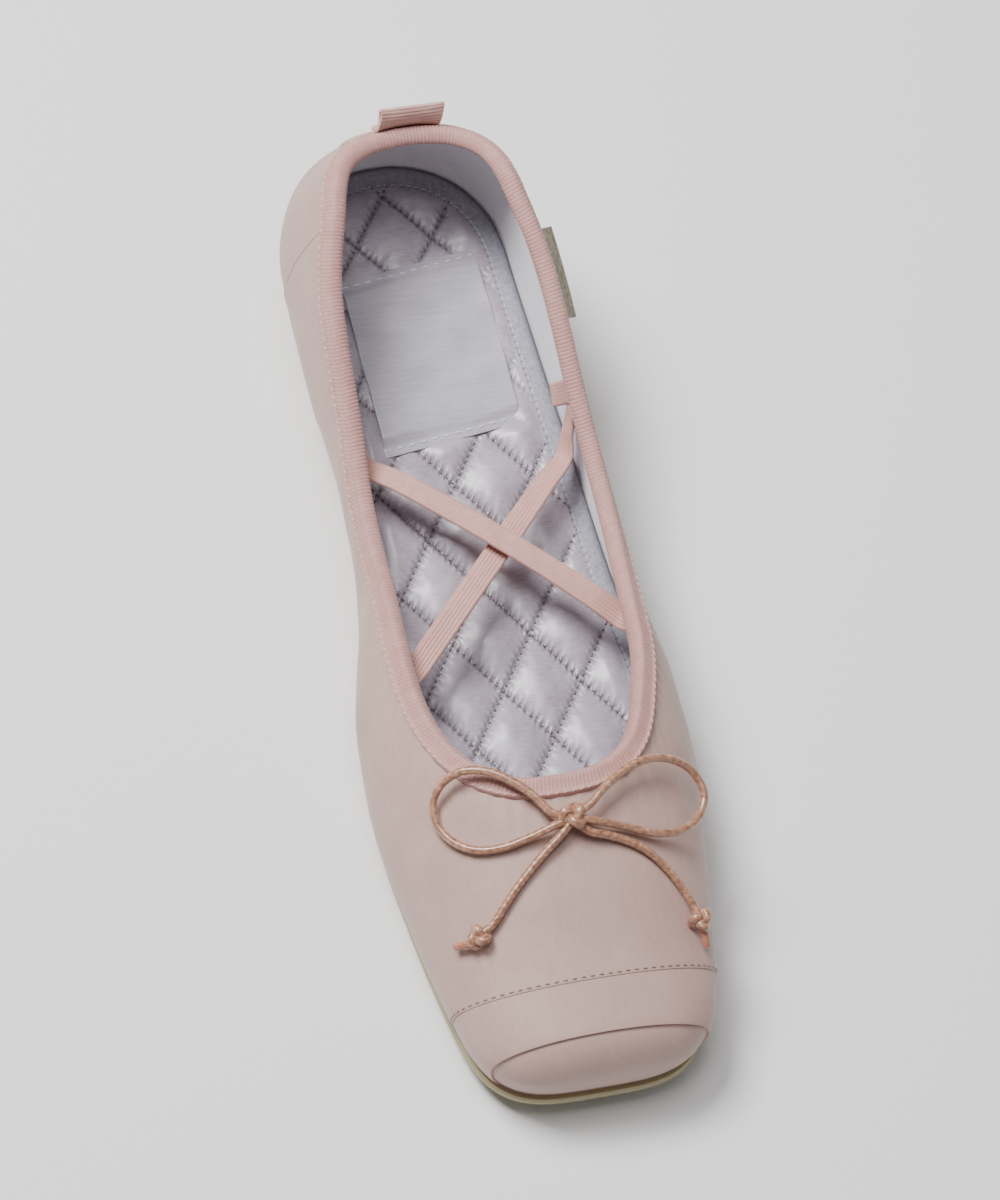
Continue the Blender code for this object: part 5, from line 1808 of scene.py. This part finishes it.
END_KNOTS = {
    "bow_end_knot_medial": ((-23.2, -182.2, 33.2), (-26.9, -183.9, 31.0), (-30.0, -182.9, 28.4)),
    "bow_end_knot_lateral": ((27.5, -184.9, 30.1), (28.5, -188.4, 28.6), (28.7, -192.0, 26.3)),
}
print("cord routes:", *CORD_ROUTES)

# %% Making cord and knots
def make_cord(name, paths, radius=CORD_DIAMETER / 2.0, finish=cord_satin, replaced=()):
    """Braided cord along one or more paths."""
    made = path_object(name, paths)
    run_tree(
        made, cord_tree, radius=radius * MM, strands=3.0, lay=3.4 * MM, groove=0.06 * MM,
        material=finish,
    )
    place(made, replaced)
    return made


def overhand_knot(centre, ahead, size, turn, rise=1.05, steps=110):
    """The path of an overhand knot pulled tight: three lobes, over and under in turn."""
    ahead = unit(np.array(ahead, dtype=float))
    side = unit(np.cross(ahead, UP))
    t = np.linspace(0.0, math.tau, steps)
    lobes = np.sin(t) + 2.0 * np.sin(2.0 * t) + 1j * (np.cos(t) - 2.0 * np.cos(2.0 * t))
    lobes = lobes / 3.0 * np.exp(1j * math.radians(turn)) * size
    path = np.array(centre) + ahead * lobes.real[:, None] + side * lobes.imag[:, None]
    return path - np.cross(side, ahead) * (np.sin(3.0 * t) * rise)[:, None]

# %% The knots
middle_knot = overhand_knot(KNOT_CENTRE, (1.0, 0.0, 0.0), 2.6, 30.0)
bow_knot = make_cord("bow_knot_cord", [middle_knot], radius=1.12, replaced=("bow_knot",))
for knot_name, (first, middle, tip) in END_KNOTS.items():
    first, middle, tip = np.array(first), np.array(middle), np.array(tip)
    ahead = unit(middle - first)
    centre = (first + middle) / 2.0 + (0.0, 0.0, 0.4)
    core = smooth_route([first - ahead * 0.8, centre, middle + ahead * 0.6], 20)
    stub = smooth_route([middle - ahead * 0.6, (middle + tip) / 2.0 + (0.0, 0.0, 0.2), tip], 24)
    make_cord(
            knot_name + "_cord", [overhand_knot(centre, ahead, 2.0, 75.0), core],
            radius=1.15, replaced=(knot_name,),
        )
    make_cord(knot_name + "_tip", [stub], radius=0.85, finish=cord_tip)

# %% Loops and tails
for cord_name, route in CORD_ROUTES.items():
    path = smooth_route(route, 90)
    made = make_cord(cord_name + "_cord", [path], replaced=(cord_name,))
    length = float(polyline_length(path)[-1]) * MM
    print(cord_name, "length, mm:", round(length / MM, 1))

# %% [markdown]
# ## The rubber sole
# A thin slab of clear gum rubber runs under the whole shoe: a low heel at the back, a lifted waist
# and a little toe spring. It is made as loops from its top, over the rounded side, to a recessed
# base. A raised rim and rows of small studs touch the ground. The studs repeat, so a tree sets one
# on each point of a staggered field.

# %% The sole's body
SOLE_RECESS, SOLE_RIM, SOLE_BULGE, GROUND_EDGE = 0.9, 4.5, 0.28, 1.0
SOLE_TOP_DROP, SOLE_TOP_HOLLOW, SOLE_TOP_INSET, SOLE_SHOULDER = 0.12, 0.22, 3.0, 0.45


def ground_under(stations):
    """The underside's height, straight between the table's rows: the flat spots stay flat."""
    return np.interp(stations, *curves["ground"])


def recess_at(y, _=None):
    """The height of the sole's recessed field at a place along the shoe."""
    return ground_under(HEEL_BACK_Y - y) + SOLE_RECESS


def sole_loops():
    """Closed loops from the middle of the top, over the side, to the middle of the underside."""
    stations = outline.stations
    ground, margin = ground_under(stations), last("margin", stations)
    top = last("feather", stations) - SOLE_TOP_DROP
    side_height = top - ground - GROUND_EDGE - 0.4

    def ring(inset, height):
        loop = outline.loop(0.0, inset)
        loop[:, 2] = height
        return loop

    loops = toward_spine(
        ring(SOLE_TOP_INSET, top), stations, (1.0, 0.5, 0.0),
        lambda y, _: feather_at(y) - SOLE_TOP_HOLLOW,
    )
    for inset, drop in ((0.7, 0.0), (0.22, 0.1), (0.0, SOLE_SHOULDER)):
        loops.append(ring(inset - margin, top - drop))
    for share in (0.3, 0.5, 0.7):
        bulge = SOLE_BULGE * math.sin(math.pi * share)
        loops.append(ring(-margin - bulge, top - SOLE_SHOULDER - side_height * share))
    for angle in np.radians((0.0, 30.0, 60.0, 90.0)):
        inset = 0.1 - margin + GROUND_EDGE * (1.0 - math.cos(angle))
        loops.append(ring(inset, ground + GROUND_EDGE * (1.0 - math.sin(angle))))
    for inset, height in ((0.0, 0.0), (0.3, 0.2), (0.6, SOLE_RECESS)):
        loops.append(ring(SOLE_RIM - margin + inset, ground + height))
    base = ring(SOLE_RIM - margin + 0.9, ground + SOLE_RECESS)
    loops += toward_spine(base, stations, (0.0, 0.25, 0.5, 0.75, 1.0), recess_at)
    return np.stack(loops, axis=1)


sole = grid_piece("rubber_sole", sole_loops(), gum_rubber, 40.0, ring=True)
set_right(sole.data, weld=True)
place(sole, ("outsole",))

# %% The tree for studs
STUD_SIDES, STUD_TAPER = 10, 0.72


def make_stud_tree():
    """A low round stud on every point."""
    inputs = ("Geometry", "Radius", "Height", "Material")
    tree, source, sink = new_tree("sole_studs", inputs)
    stud = node(
        tree, "GeometryNodeMeshCone",
        {
            "Vertices": STUD_SIDES, "Radius Top": source["Radius"] * STUD_TAPER,
            "Radius Bottom": source["Radius"], "Depth": source["Height"],
        },
        fill_type="NGON",
    )
    studs = node(
        tree, "GeometryNodeInstanceOnPoints",
        {"Points": source, "Instance": stud, "Rotation": (math.pi, 0.0, 0.0)},
    )
    close_tree(studs, source, sink)
    return tree


stud_tree = make_stud_tree()
print("stud tree nodes:", len(stud_tree.nodes))

# %% The studs
STUD_RADIUS, STUD_PITCH, STUD_INSET, STUD_SINK = 1.3, 4.6, 2.4, 0.02
FIELD_LONG, FIELD_WIDE, ROW_SHARE = (-215.0, 30.0), (-40.0, 41.0), 0.87
WAIST_FROM, WAIST_TO = -28.0, -100.0


def stud_field():
    """Staggered points inside the rim, at the studs' base. The lifted waist has none."""
    spots = np.array([
        (x + (STUD_PITCH / 2.0 if row % 2 else 0.0), y)
        for row, y in enumerate(np.arange(*FIELD_LONG, STUD_PITCH * ROW_SHARE))
        for x in np.arange(*FIELD_WIDE, STUD_PITCH)
    ])
    waist = (spots[:, 1] < WAIST_FROM) & (spots[:, 1] > WAIST_TO)
    spots = spots[inside_outline(spots, outline.loop(0.0, SOLE_RIM + STUD_INSET)) & ~waist]
    return np.column_stack([spots, recess_at(spots[:, 1]) + STUD_SINK])


studs = add_object("sole_studs", plain_mesh("sole_studs", stud_field()))
run_tree(
    studs, stud_tree, radius=STUD_RADIUS * MM, height=SOLE_RECESS * MM, material=gum_rubber
)
place(studs)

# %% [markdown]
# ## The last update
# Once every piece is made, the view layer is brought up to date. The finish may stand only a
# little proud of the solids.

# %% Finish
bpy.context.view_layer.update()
